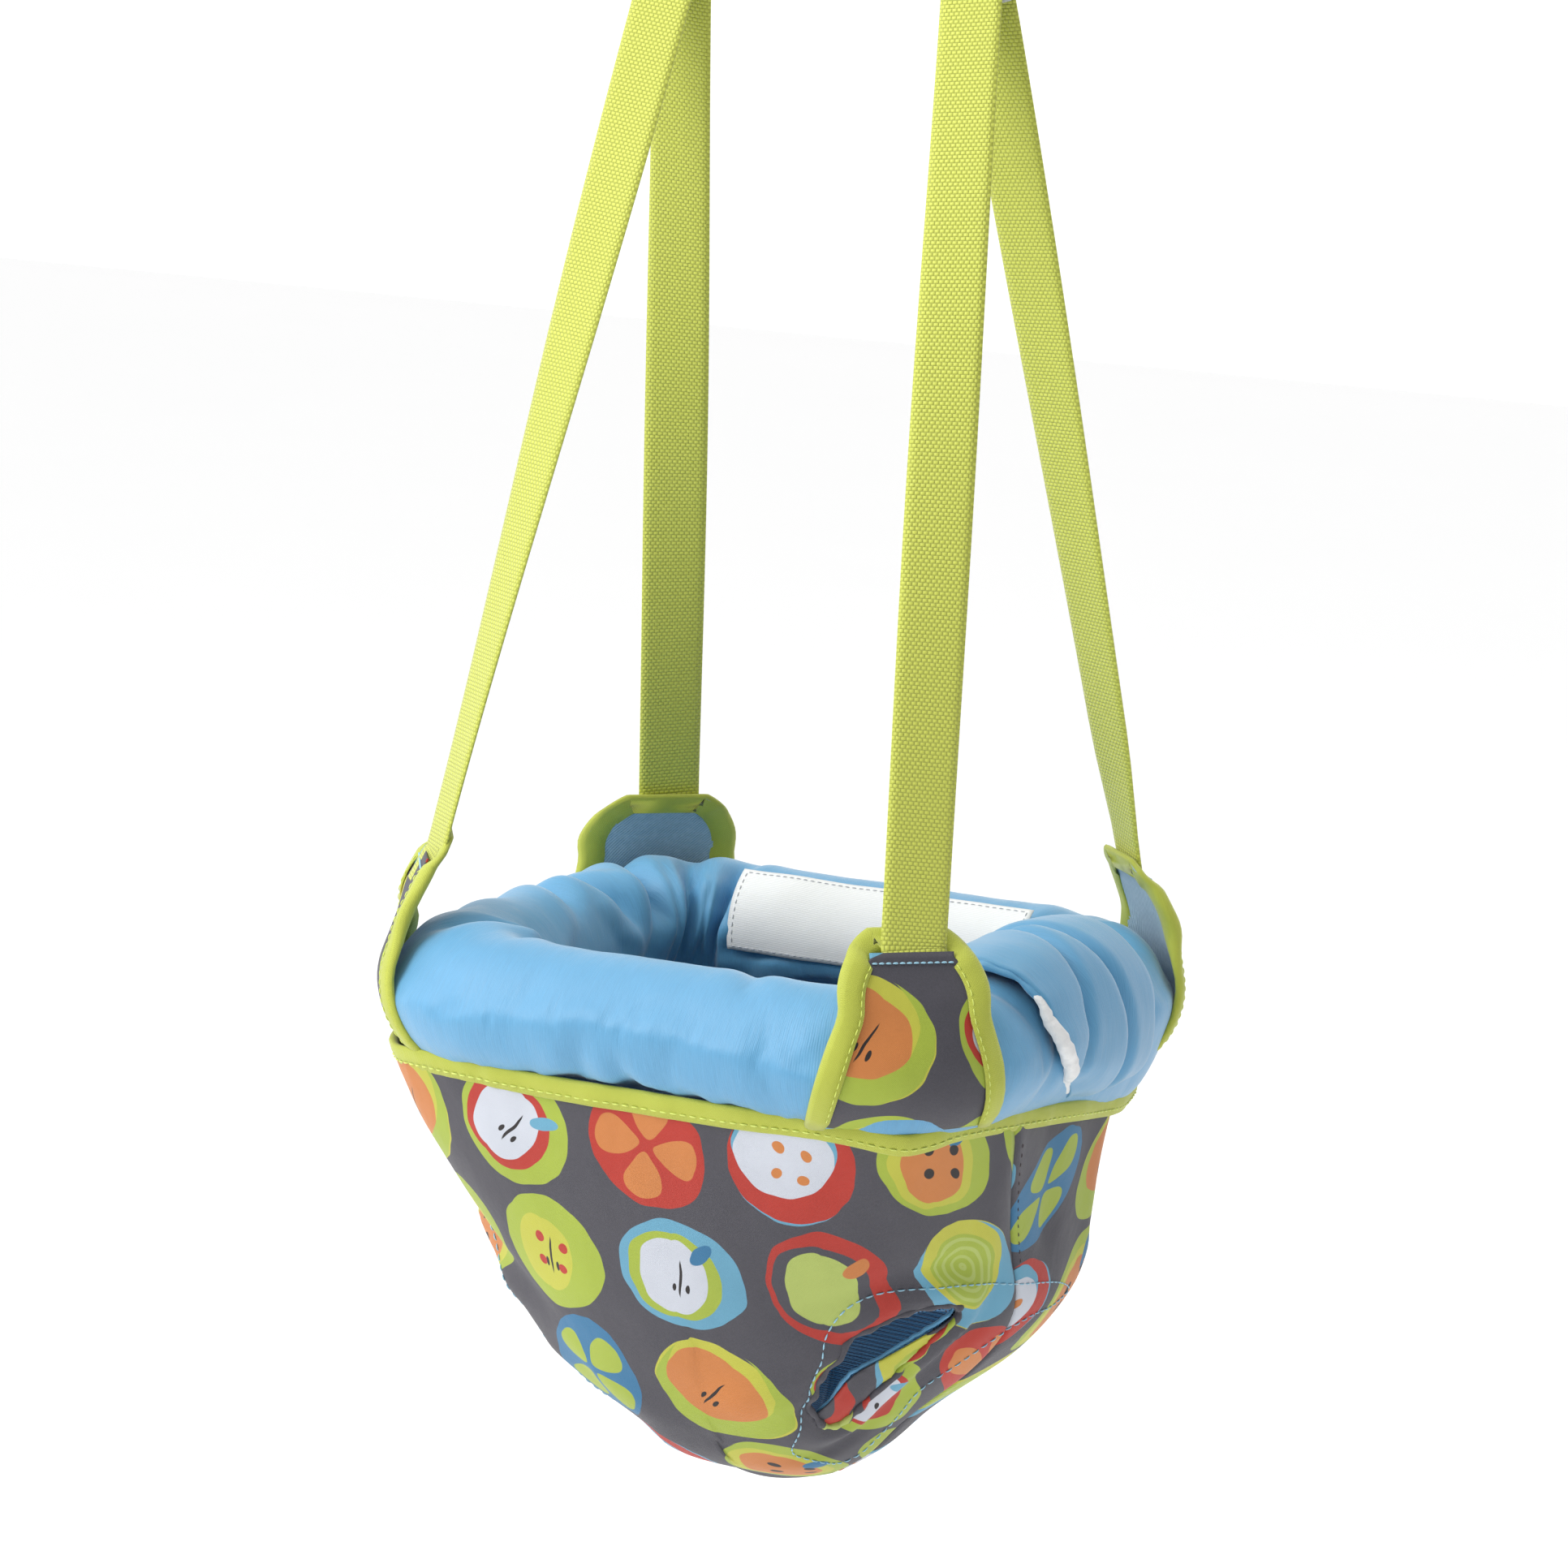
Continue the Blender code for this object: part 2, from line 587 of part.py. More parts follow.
def corner_frame(side_x, side_y):
    """Centre of a ring corner's bend, and the directions outwards and along the ring."""
    centre = Vector((side_x * (RING_HALF_X - RING_CORNER_R),
                     SEAT_Y + side_y * (RING_HALF_Y - RING_CORNER_R), RING_Z))
    return centre, Vector((side_x, side_y, 0)).normalized()


def corner_point(side_x, side_y, turn, outwards, height):
    """A point round a ring corner: turned from its diagonal, outwards from the roll's centre."""
    centre, out = corner_frame(side_x, side_y)
    across = Vector((-out.y, out.x, 0))
    direction = out * math.cos(turn) + across * math.sin(turn)
    return centre + direction * (RING_CORNER_R + outwards) + Vector((0, 0, height))


def tab_profile(t, layer):
    """Across the roll from the rim (t 0) to the tab's top (t 1): outwards and up."""
    wrap_r = ROLL_R + layer
    start, reach = TAB_WRAP
    arc = wrap_r * (reach - start)
    leave = Vector((wrap_r * math.cos(reach), wrap_r * math.sin(reach)))
    rise = Vector(STRAP_FOOT) - Vector((math.cos(reach), math.sin(reach))) * ROLL_R
    rise.normalize()
    straight = (TAB_TOP - leave.y) / rise.y
    along = t * (arc + straight)
    if along <= arc:
        angle = start + along / wrap_r
        return wrap_r * math.cos(angle), wrap_r * math.sin(angle)
    place = leave + rise * (along - arc)
    return place.x, place.y


def tab_half_width(t):
    """Half width at height t: straight sides that lean in to a rounded top."""
    lean = TAB_HALF_FOOT + (TAB_HALF_TOP - TAB_HALF_FOOT) * min(t / TAB_CROWN, 1.0)
    if t <= TAB_CROWN:
        return lean
    return lean * math.sqrt(max(0.0, 1 - ((t - TAB_CROWN) / (1.04 - TAB_CROWN)) ** 2))


def tab_point(side_x, side_y, t, offset, layer):
    """A point on a tab: it wraps the ring's corner low down and is flat where the strap is sewn."""
    outwards, height = tab_profile(t, layer)
    turn = offset / (RING_CORNER_R + ROLL_R)
    wrapped = corner_point(side_x, side_y, turn, outwards, height)
    out = corner_frame(side_x, side_y)[1]
    flat = corner_point(side_x, side_y, 0.0, outwards, height)
    flat += Vector((-out.y, out.x, 0)) * offset
    return wrapped.lerp(flat, smoothstep((t - 0.45) / 0.3))


def tab_rows(side_x, side_y, layer, top):
    rows = []
    steps, across = 10, 3
    for i in range(steps + 1):
        t = top * i / steps
        half = tab_half_width(t)
        rows.append([tab_point(side_x, side_y, t, half * k / across, layer)
                     for k in range(-across, across + 1)])
    return rows


def tab_binding(side_x, side_y, label):
    """Tape over a tab's edge: between the two layers low down, inside the lining at the top."""
    edge = []
    steps, spread = 14, 3.1 * MM
    for side in (-1, 1):
        run = []
        for i in range(steps + 1):
            t = 0.99 * math.sin(math.pi / 2 * i / steps)
            layer = (2.4 - 4.2 * smoothstep((t - 0.6) / 0.2)) * MM
            run.append(tab_point(side_x, side_y, t, side * (tab_half_width(t) + spread), layer))
        edge += run if side < 0 else run[::-1]
    tube("tab_binding_" + label, edge, 2.2 * MM, "binding", resolution=1)


def tabs():
    for end, side_y in (("front", -1), ("back", 1)):
        for hand, side_x in (("left", -1), ("right", 1)):
            label = end + "_" + hand
            fabric_sheet("tab_lining_" + label, tab_rows(side_x, side_y, TAB_LINING_LIFT, 0.97),
                         TAB_LAYER_T, "twill")
            fabric_sheet("tab_panel_" + label, tab_rows(side_x, side_y, TAB_PANEL_LIFT, 0.9),
                         TAB_LAYER_T, "print")
            tab_binding(side_x, side_y, label)


def side_strap(side_x, name):
    """One webbing strap: front tab, up over the bar's end, and down to the back tab."""
    crest_z = BAR_Z - SLOT_H / 2 + WEB_T / 2 + GAP
    hold_y = BAR_T / 2 + WEB_T / 2 + 0.8 * MM
    steps, sewn_lift, over_steps = 24, 2.6 * MM, 6
    centres, across = [], []
    for side_y in (-1, 1):
        run, sides = [], []
        yaw = math.radians(45) * side_x * -side_y
        for t in (0.78, 0.83, 0.88, 0.93):
            run.append(tab_point(side_x, side_y, t, 0.0, sewn_lift))
            sides.append(Vector((math.cos(yaw), math.sin(yaw), 0)))
        foot = run[-1]
        head = Vector((side_x * STRAP_X, side_y * (hold_y + 0.6 * MM), crest_z - 9 * MM))
        for i in range(1, steps + 1):
            t = i / steps
            turn = yaw * (1 - smoothstep(t))
            run.append(foot.lerp(head, t))
            sides.append(Vector((math.cos(turn), math.sin(turn), 0)))
        if side_y > 0:
            run.reverse()
            sides.reverse()
        centres += run
        across += sides
        if side_y < 0:
            for i in range(over_steps + 1):
                angle = math.pi * (1 - i / over_steps)
                centres.append(Vector((side_x * STRAP_X, hold_y * math.cos(angle),
                                       crest_z - 2 * MM + 3.2 * MM * math.sin(angle))))
                across.append(Vector((1, 0, 0)))
    ribbon(name, centres, across, "webbing")


def ring_outline():
    return rounded_rectangle(RING_HALF_X, RING_HALF_Y, RING_CORNER_R, 7, 2)


def ring_roll():
    tube("ring_core", [(x, SEAT_Y + y, RING_Z) for x, y in ring_outline()], CORE_R, "foam", True, 4)


def roll_section(outline, angles, radius):
    """Rows of points on the roll at the given angles about its centre line."""
    rows = []
    count = len(outline)
    for i, point in enumerate(outline):
        along = (outline[(i + 1) % count] - outline[i - 1]).normalized()
        out = Vector((along.y, -along.x, 0))
        middle = Vector((point.x, SEAT_Y + point.y, RING_Z))
        rows.append([middle + (out * math.cos(a) + Vector((0, 0, math.sin(a)))) * radius for a in angles])
    return rows


def angles_between(start, end, steps):
    return [math.radians(start + (end - start) * i / steps) for i in range(steps + 1)]


def ring_cover():
    """Satin sleeve round the foam, open along the underside where it is sewn to the rim."""
    angles = angles_between(-62, 262, 14)
    low = roll_section(ring_outline(), angles, ROLL_R - COVER_T)
    high = roll_section(ring_outline(), angles, ROLL_R)
    loft("ring_cover", [a + b[::-1] for a, b in zip(low, high)], "satin", closed=True)


def cover_flap():
    """The cover's overlapping closing sleeve on the right-hand roll."""
    rows = []
    radius = ROLL_R + 0.8 * MM
    for y in FLAP_ROWS:
        centre = Vector((RING_HALF_X, SEAT_Y + y * MM, RING_Z))
        rows.append([centre + Vector((math.cos(a), 0, math.sin(a))) * radius
                     for a in angles_between(-52, 198, 14)])
    fabric_sheet("cover_flap", rows, 1.2 * MM, "satin", grow=-1.0)


def care_label():
    """A blank sewn-in label on the back roll's inner face."""
    rows = []
    for x in LABEL_ENDS:
        centre = Vector((x, SEAT_Y + RING_HALF_Y, RING_Z))
        rows.append([centre + Vector((0, math.cos(a), math.sin(a))) * (ROLL_R + GAP)
                     for a in angles_between(112, 178, 8)])
    fabric_sheet("care_label", rows, 0.5 * MM, "label")


def bucket_level(depth):
    """The section's eight measures at any depth, smoothly between the levels."""
    depth = min(max(depth, BUCKET_LEVELS[0][0]), BUCKET_LEVELS[-1][0])
    upper, lower = BUCKET_LEVELS[0], BUCKET_LEVELS[1]
    for upper, lower in zip(BUCKET_LEVELS, BUCKET_LEVELS[1:]):
        if depth <= lower[0]:
            break
    t = (depth - upper[0]) / (lower[0] - upper[0])
    return [a + (b - a) * t for a, b in zip(upper, lower)]


def rounded_loop(corners, count):
    """A closed quadratic B-spline through the mid points of a polygon's sides."""
    points = []
    sides = len(corners)
    per_corner = count // sides
    for i in range(sides):
        before, here, after = corners[i - 1], corners[i], corners[(i + 1) % sides]
        start, end = (before + here) / 2, (here + after) / 2
        for k in range(per_corner):
            t = k / per_corner
            points.append(start * (1 - t) ** 2 + here * 2 * t * (1 - t) + end * t ** 2)
    return points


def bucket_section(depth, inset=0.0, count=40):
    _, front, front_half, side, side_front, side_back, back_half, back = (
        value * MM for value in bucket_level(depth / MM))
    front, side, back = front - inset, side - inset, back - inset
    corners = [Vector((side, side_front)), Vector((side, side_back)),
               Vector((back_half, back)), Vector((-back_half, back)),
               Vector((-side, side_back)), Vector((-side, side_front)),
               Vector((-front_half, -front)), Vector((front_half, -front))]
    return rounded_loop(corners, count)


def bucket_rows(top, inset, levels, count):
    rows = []
    bottom = BUCKET_LEVELS[-1][0] * MM
    for i in range(levels):
        # Levels lie closer together towards the bottom, where the bucket curves most
        depth = top + (bottom - top) * math.sin(math.pi / 2 * i / (levels - 1))
        shown = depth - inset * smoothstep((depth - 0.12) / 0.076)
        rows.append([Vector((x, SEAT_Y + y, RING_Z - shown))
                     for x, y in bucket_section(depth, inset, count)])
    return rows


def bucket(name, top, inset, thickness, finish, opening_grow, levels, count):
    """A closed-bottomed fabric bucket with a leg opening cut through each side."""
    rows = bucket_rows(top, inset, levels, count)
    bm = bmesh.new()
    grid = [[bm.verts.new(point) for point in row] for row in rows]
    count = len(grid[0])
    for lower, upper in zip(grid, grid[1:]):
        for i in range(count):
            j = (i + 1) % count
            bm.faces.new((lower[j], lower[i], upper[i], upper[j]))
    middle = sum((vert.co for vert in grid[-1]), Vector()) / count
    tip = bm.verts.new(middle - Vector((0, 0, 3 * MM)))
    for i in range(count):
        bm.faces.new((grid[-1][(i + 1) % count], grid[-1][i], tip))
    data = bpy.data.meshes.new(name)
    bm.to_mesh(data)
    bm.free()
    item = add_object(name, data, finish)
    skin = item.modifiers.new("thickness", "SOLIDIFY")
    skin.thickness = thickness
    skin.offset = -1.0
    for hand, side in (("left", -1), ("right", 1)):
        bm = bmesh.new()
        outline = leg_outline(opening_grow)
        near, far = [[bm.verts.new((side * x, SEAT_Y + y, RING_Z + z)) for y, z in outline]
                     for x in CROTCH_CUT]
        for i in range(len(near)):
            j = (i + 1) % len(near)
            bm.faces.new((near[i], near[j], far[j], far[i]))
        bm.faces.new(near)
        bm.faces.new(far)
        boolean(item, cutter(name + "_leg_" + hand, bm), "DIFFERENCE")


def leg_outline(grow, count=32):
    """A leg opening seen from the side, as (y, z) points, tipped down towards the front."""
    points = []
    lean_y, lean_z = math.cos(LEG_LEAN), math.sin(LEG_LEAN)
    for i in range(count):
        angle = 2 * math.pi * i / count
        y = (LEG_HALF[0] + grow) * math.cos(angle)
        z = (LEG_HALF[1] + grow) * math.sin(angle)
        points.append((LEG_CENTRE[0] + y * lean_y - z * lean_z * LEG_SKEW,
                       LEG_CENTRE[1] + y * lean_z * LEG_SKEW + z * lean_y))
    return points


def bucket_half_width(y, depth):
    """How far the bucket reaches in X at a given Y and depth."""
    loop = bucket_section(depth, 0.0, 96)
    best = 0.0
    for a, b in zip(loop, loop[1:] + loop[:1]):
        if (a.y - y) * (b.y - y) <= 0 and a.y != b.y:
            t = (y - a.y) / (b.y - a.y)
            best = max(best, a.x + (b.x - a.x) * t)
    return best


def leg_hems():
    for hand, side in (("left", -1), ("right", 1)):
        points = []
        for y, z in leg_outline(-2.6 * MM, 36):
            x = bucket_half_width(y, -z)
            points.append((side * (x - 1 * MM), SEAT_Y + y, RING_Z + z))
        tube("leg_hem_" + hand, points, LEG_HEM_R, "print", True, 1)


def rim_binding():
    """A folded tape round the bucket's rim, under the roll."""
    rows = []
    for drop in (RIM_DROP + RIM_TAPE_H, RIM_DROP):
        section = bucket_section(drop)
        count = len(section)
        row = []
        for i, point in enumerate(section):
            along = (section[(i + 1) % count] - section[i - 1]).normalized()
            out = Vector((along.y, -along.x)) * RIM_TAPE_CLEAR
            row.append(Vector((point.x + out.x, SEAT_Y + point.y + out.y, RING_Z - drop)))
        rows.append(row)
    fabric_sheet("rim_binding", rows, RIM_TAPE_T, "binding", wrap=True)


def seat():
    tabs()
    side_strap(-1, "strap_left")
    side_strap(1, "strap_right")
    ring_roll()
    ring_cover()
    cover_flap()
    care_label()
    bucket("outer_shell", RIM_DROP, 0.0, SHELL_T, "print", 0.0, 12, 40)
    bucket("mesh_lining", 36 * MM, 4 * MM, LINING_T, "mesh", -1 * MM, 8, 32)
    leg_hems()
    rim_binding()


def main():
    for side, name in ((-1, "front"), (1, "back")):
        clamp_arm(side, name + "_arm")
        clamp_pad(side, name + "_pad")
        lever_grip(side, name + "_lever_grip")
    clamp_bolt()
    torsion_spring(-1, "torsion_spring_left")
    torsion_spring(1, "torsion_spring_right")
    hanger()
    bounce_spring()
    spring_cover()
    safety_tether()
    lower_ring()
    height_straps()
    adjuster_buckle()
    spacer_bar()
    seat()


clear_scene()
PARTS = new_collection("doorway_jumper")
CUTTERS = new_collection("cutters")
main()
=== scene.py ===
import math

import bmesh
import bpy
import numpy as np
from mathutils import Matrix, Vector, noise
from mathutils.bvhtree import BVHTree


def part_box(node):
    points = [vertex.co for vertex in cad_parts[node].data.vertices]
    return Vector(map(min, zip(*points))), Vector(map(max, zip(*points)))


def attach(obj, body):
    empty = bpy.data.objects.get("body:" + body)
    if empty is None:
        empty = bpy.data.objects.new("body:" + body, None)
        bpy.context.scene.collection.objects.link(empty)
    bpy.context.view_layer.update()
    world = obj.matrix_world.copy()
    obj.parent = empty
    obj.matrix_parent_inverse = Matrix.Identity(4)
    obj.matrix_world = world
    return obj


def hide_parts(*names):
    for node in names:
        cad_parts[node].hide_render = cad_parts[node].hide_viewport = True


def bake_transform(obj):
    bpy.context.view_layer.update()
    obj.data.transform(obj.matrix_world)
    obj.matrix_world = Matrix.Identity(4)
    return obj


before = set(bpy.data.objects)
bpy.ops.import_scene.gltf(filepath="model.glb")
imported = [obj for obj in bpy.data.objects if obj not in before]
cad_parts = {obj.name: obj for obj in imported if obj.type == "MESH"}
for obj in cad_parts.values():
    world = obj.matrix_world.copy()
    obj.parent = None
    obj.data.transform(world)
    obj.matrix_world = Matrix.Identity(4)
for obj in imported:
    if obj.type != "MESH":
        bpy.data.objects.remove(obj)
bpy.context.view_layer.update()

MM = 0.001
SCENE = bpy.context.scene

# ---------------------------------------------------------------- measures, in metres
ring_low, ring_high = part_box("ring_core")
RING = (ring_low + ring_high) / 2
RING_HALF = (110 * MM, 98 * MM)      # the roll's centre line is a rounded rectangle
RING_CORNER_R = 45 * MM
RING_FLAT = (RING_HALF[0] - RING_CORNER_R, RING_HALF[1] - RING_CORNER_R)
RING_LENGTH = 4 * (RING_HALF[0] + RING_HALF[1] - 2 * RING_CORNER_R) + 2 * math.pi * RING_CORNER_R
ROLL_R = 29.6 * MM
TAB_R = 30 * MM                      # the roll's radius under a tab
TAB_TOP = 50 * MM
TAB_HALF_FOOT = 44 * MM
TAB_HALF_TOP = 29 * MM
TAB_CROWN = 0.62                     # the share of its height at which a tab starts to round off
TAB_RISE = 0.93                      # height gained for each length of a tab's flat part
TAB_WRAP = (math.radians(-54), math.radians(32))   # where a tab starts on the roll and leaves it
PRINT_TOP = 0.895                    # how far up a tab its printed panel and its sewn line reach
TACK_LINE = 0.85
# The tabs differ a little, by hand (x, y): how far each sits round its corner, how far it is turned
# (both anticlockwise seen from above), how wide it is and how much higher it stands
TAB_SKEW = {(1, -1): -3 * MM, (-1, 1): 3 * MM, (-1, -1): -10 * MM, (1, 1): 0.0}
TAB_TURN = {(1, -1): 0.0, (-1, 1): 0.0, (-1, -1): math.radians(-12), (1, 1): 0.0}
TAB_WIDTH = {(1, -1): 1.0, (-1, 1): 1.15, (-1, -1): 1.0, (1, 1): 1.0}
TAB_LIFT = {(1, -1): 0.0, (-1, 1): 0.0, (-1, -1): 7 * MM, (1, 1): 2 * MM}
STRAP_YAW = {(-1, -1): 45, (1, -1): 45, (-1, 1): 45, (1, 1): 33}   # degrees that each strap is turned
STRAP_FOOT = (14.4 * MM, 38 * MM)    # where a strap leaves its tab: outwards and up from the roll's centre
WEB_W = 25.4 * MM
WEB_T = 1.5 * MM
bar_low, bar_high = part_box("spacer_bar")
BAR = (bar_low + bar_high) / 2
STRAP_X = 66 * MM
RIM_DROP = 27 * MM                   # depth at which the bucket's cloth starts
RIM_TOP = 22.5 * MM                  # depth of the rim tape's top
# Outlines seen from the side, (y, z) from the ring's centre: a leg opening's slack edge, the edge of the
# facing inside it, and the stitch line round both
LEG_FRONT = ((-65, -150), (-71, -136), (-73, -122), (-69, -112), (-60, -107), (-48, -106))
LEG_EDGE = np.array(((-54, -161), *LEG_FRONT, (-38, -110), (-42, -122), (-45, -136), (-47, -150),
                     (-48, -160))) * MM
LEG_FACING = np.array(((-55, -160), *LEG_FRONT, (-39, -110), (-49, -120), (-56, -132), (-60, -144),
                       (-59, -156))) * MM
LEG_STITCH = np.array((
    (-45, -178), (-58, -168), (-66, -152), (-74, -136), (-79, -118), (-78, -102), (-66, -97), (-36, -99),
    (-7, -104), (25, -110), (45, -118), (30, -121), (10, -121), (-8, -128), (-18, -139), (-23, -151),
    (-17, -169), (-20, -184))) * MM
LEFT_LEG_BACK = 14 * MM              # how much further back the left opening hangs
# Sections of the bucket: depth under the ring's centre, reach to the front, half width there, reach to
# the sides, Y of the sides' front and back corners, half width at the back, reach to the back
BUCKET_LEVELS = np.array((
    (27, 119, 94, 131, -82, 82, 94, 119),
    (60, 112, 84, 125, -60, 66, 88, 113),
    (92, 103, 74, 117, -34, 58, 84, 106),
    (120, 94, 62, 112, -16, 54, 82, 101),
    (145, 83, 50, 94, -12, 46, 66, 86),
    (168, 67, 41, 63, -12, 22, 38, 57),
    (186, 46, 29, 41, -8, 14, 26, 42),
    (196, 20, 15, 26, -3, 10, 13, 26))) * MM
CROTCH_SHIFT = 9 * MM                # the slack crotch hangs off centre, towards the right
RIM_SHIFT = 4.5 * MM                 # and the rim a little towards the left
SEAM = 1.70                          # where the side seams run, in eighths of the way round from the front
SEAM_STITCH = SEAM + 0.045           # and the stitches just behind them
FLOOR_Z = -1.24


def direction(azimuth, elevation):
    """Unit vector towards an azimuth from the front, to the right, and an elevation, in degrees."""
    a, e = math.radians(azimuth), math.radians(elevation)
    return Vector((math.sin(a) * math.cos(e), -math.cos(a) * math.cos(e), math.sin(e)))


# ---------------------------------------------------------------- camera, light and floor

LENS = 133.0                         # in mm, on a sensor 36 mm wide
VIEW_FROM = (28.0, 12.0)             # azimuth and elevation of the camera seen from the ring, in degrees
VIEW_DISTANCE = 2.3
VIEW_AXIS = (28.02, 10.08)           # azimuth and elevation of its axis, which passes above the ring
VIEW_TURN, VIEW_ROLL = 28.1, 2.4     # degrees that its sideways axis is turned and rolled

def make_camera():
    """A long lens at the photo's angle, a little rolled."""
    data = bpy.data.cameras.new("camera")
    data.lens = LENS
    data.sensor_width = 36.0
    camera = bpy.data.objects.new("camera", data)
    SCENE.collection.objects.link(camera)
    back = direction(*VIEW_AXIS)
    turn = math.radians(VIEW_TURN)
    right = Vector((math.cos(turn), math.sin(turn), 0))
    up = back.cross(right)
    roll = math.radians(VIEW_ROLL)
    x_axis = right * math.cos(roll) + up * math.sin(roll)
    y_axis = up * math.cos(roll) - right * math.sin(roll)
    place = Matrix((x_axis, y_axis, back)).transposed().to_4x4()
    place.translation = RING + direction(*VIEW_FROM) * VIEW_DISTANCE
    camera.matrix_world = place
    SCENE.camera = camera


def area_light(name, azimuth, elevation, distance, size, power, colour=(1, 1, 1)):
    """A round soft light that faces the ring."""
    data = bpy.data.lights.new(name, "AREA")
    data.shape = "DISK"
    data.size = size
    data.energy = power
    data.color = colour
    light = bpy.data.objects.new(name, data)
    SCENE.collection.objects.link(light)
    away = direction(azimuth, elevation)
    light.location = RING + away * distance
    light.rotation_euler = away.to_track_quat("Z", "Y").to_euler()


def make_studio():
    """A white surround, dimmer towards the front right, and soft lights from the front left."""
    world = bpy.data.worlds.new("studio")
    SCENE.world = world
    world.use_nodes = True
    tree = world.node_tree
    place = tree.nodes.new("ShaderNodeTexCoord")
    side = tree.nodes.new("ShaderNodeVectorMath")
    side.operation = "DOT_PRODUCT"
    side.inputs[1].default_value = (0.8, -0.6, 0.0)
    tree.links.new(place.outputs["Generated"], side.inputs[0])
    ramp = tree.nodes.new("ShaderNodeMapRange")
    ramp.interpolation_type = "SMOOTHSTEP"
    for socket, value in (("From Min", -0.35), ("From Max", 0.85), ("To Min", 1.16), ("To Max", 0.4)):
        ramp.inputs[socket].default_value = value
    tree.links.new(side.outputs["Value"], ramp.inputs["Value"])
    tree.nodes["Background"].inputs[0].default_value = (1.0, 1.0, 1.0, 1.0)
    tree.links.new(ramp.outputs["Result"], tree.nodes["Background"].inputs[1])
    area_light("key", -38, 38, 1.8, 1.0, 21, (1.0, 0.99, 0.97))
    area_light("top", -10, 78, 1.7, 1.2, 8)
    SCENE.view_settings.view_transform = "Standard"


def make_floor():
    """A pale floor well under the hanging seat; its faint glow keeps it as light as the surround."""
    graph = Graph("floor", roughness=0.7)
    cloud = graph.noise(6.0, 3.0, graph.coordinates())
    graph.colour(graph.mix(cloud, (0.985, 0.985, 0.985), (1.0, 1.0, 1.0)))
    graph.shader.inputs["Emission Color"].default_value = (1.0, 1.0, 1.0, 1.0)
    graph.shader.inputs["Emission Strength"].default_value = 0.07
    steps, half = 12, 6.0
    line = np.linspace(-half, half, steps + 1)
    points = np.array([[(x, y, FLOOR_Z) for x in line] for y in line])
    floor = grid_object("floor", points, points[:, :, :2], graph.material)


# ---------------------------------------------------------------- shader graphs

class Number:
    """A float socket in a graph, with arithmetic."""

    def __init__(self, graph, socket):
        self.graph = graph
        self.socket = socket

    def op(self, kind, *others):
        node = self.graph.node("ShaderNodeMath")
        node.operation = kind
        for place, item in zip(node.inputs, (self, *others)):
            self.graph.feed(place, item)
        return Number(self.graph, node.outputs[0])

    def __add__(self, other):
        return self.op("ADD", other)

    def __sub__(self, other):
        return self.op("SUBTRACT", other)

    def __mul__(self, other):
        return self.op("MULTIPLY", other)

    def __truediv__(self, other):
        return self.op("DIVIDE", other)

    def abs(self):
        return self.op("ABSOLUTE")

    def clamp(self):
        node = self.graph.node("ShaderNodeClamp")
        self.graph.feed(node.inputs[0], self)
        return Number(self.graph, node.outputs[0])


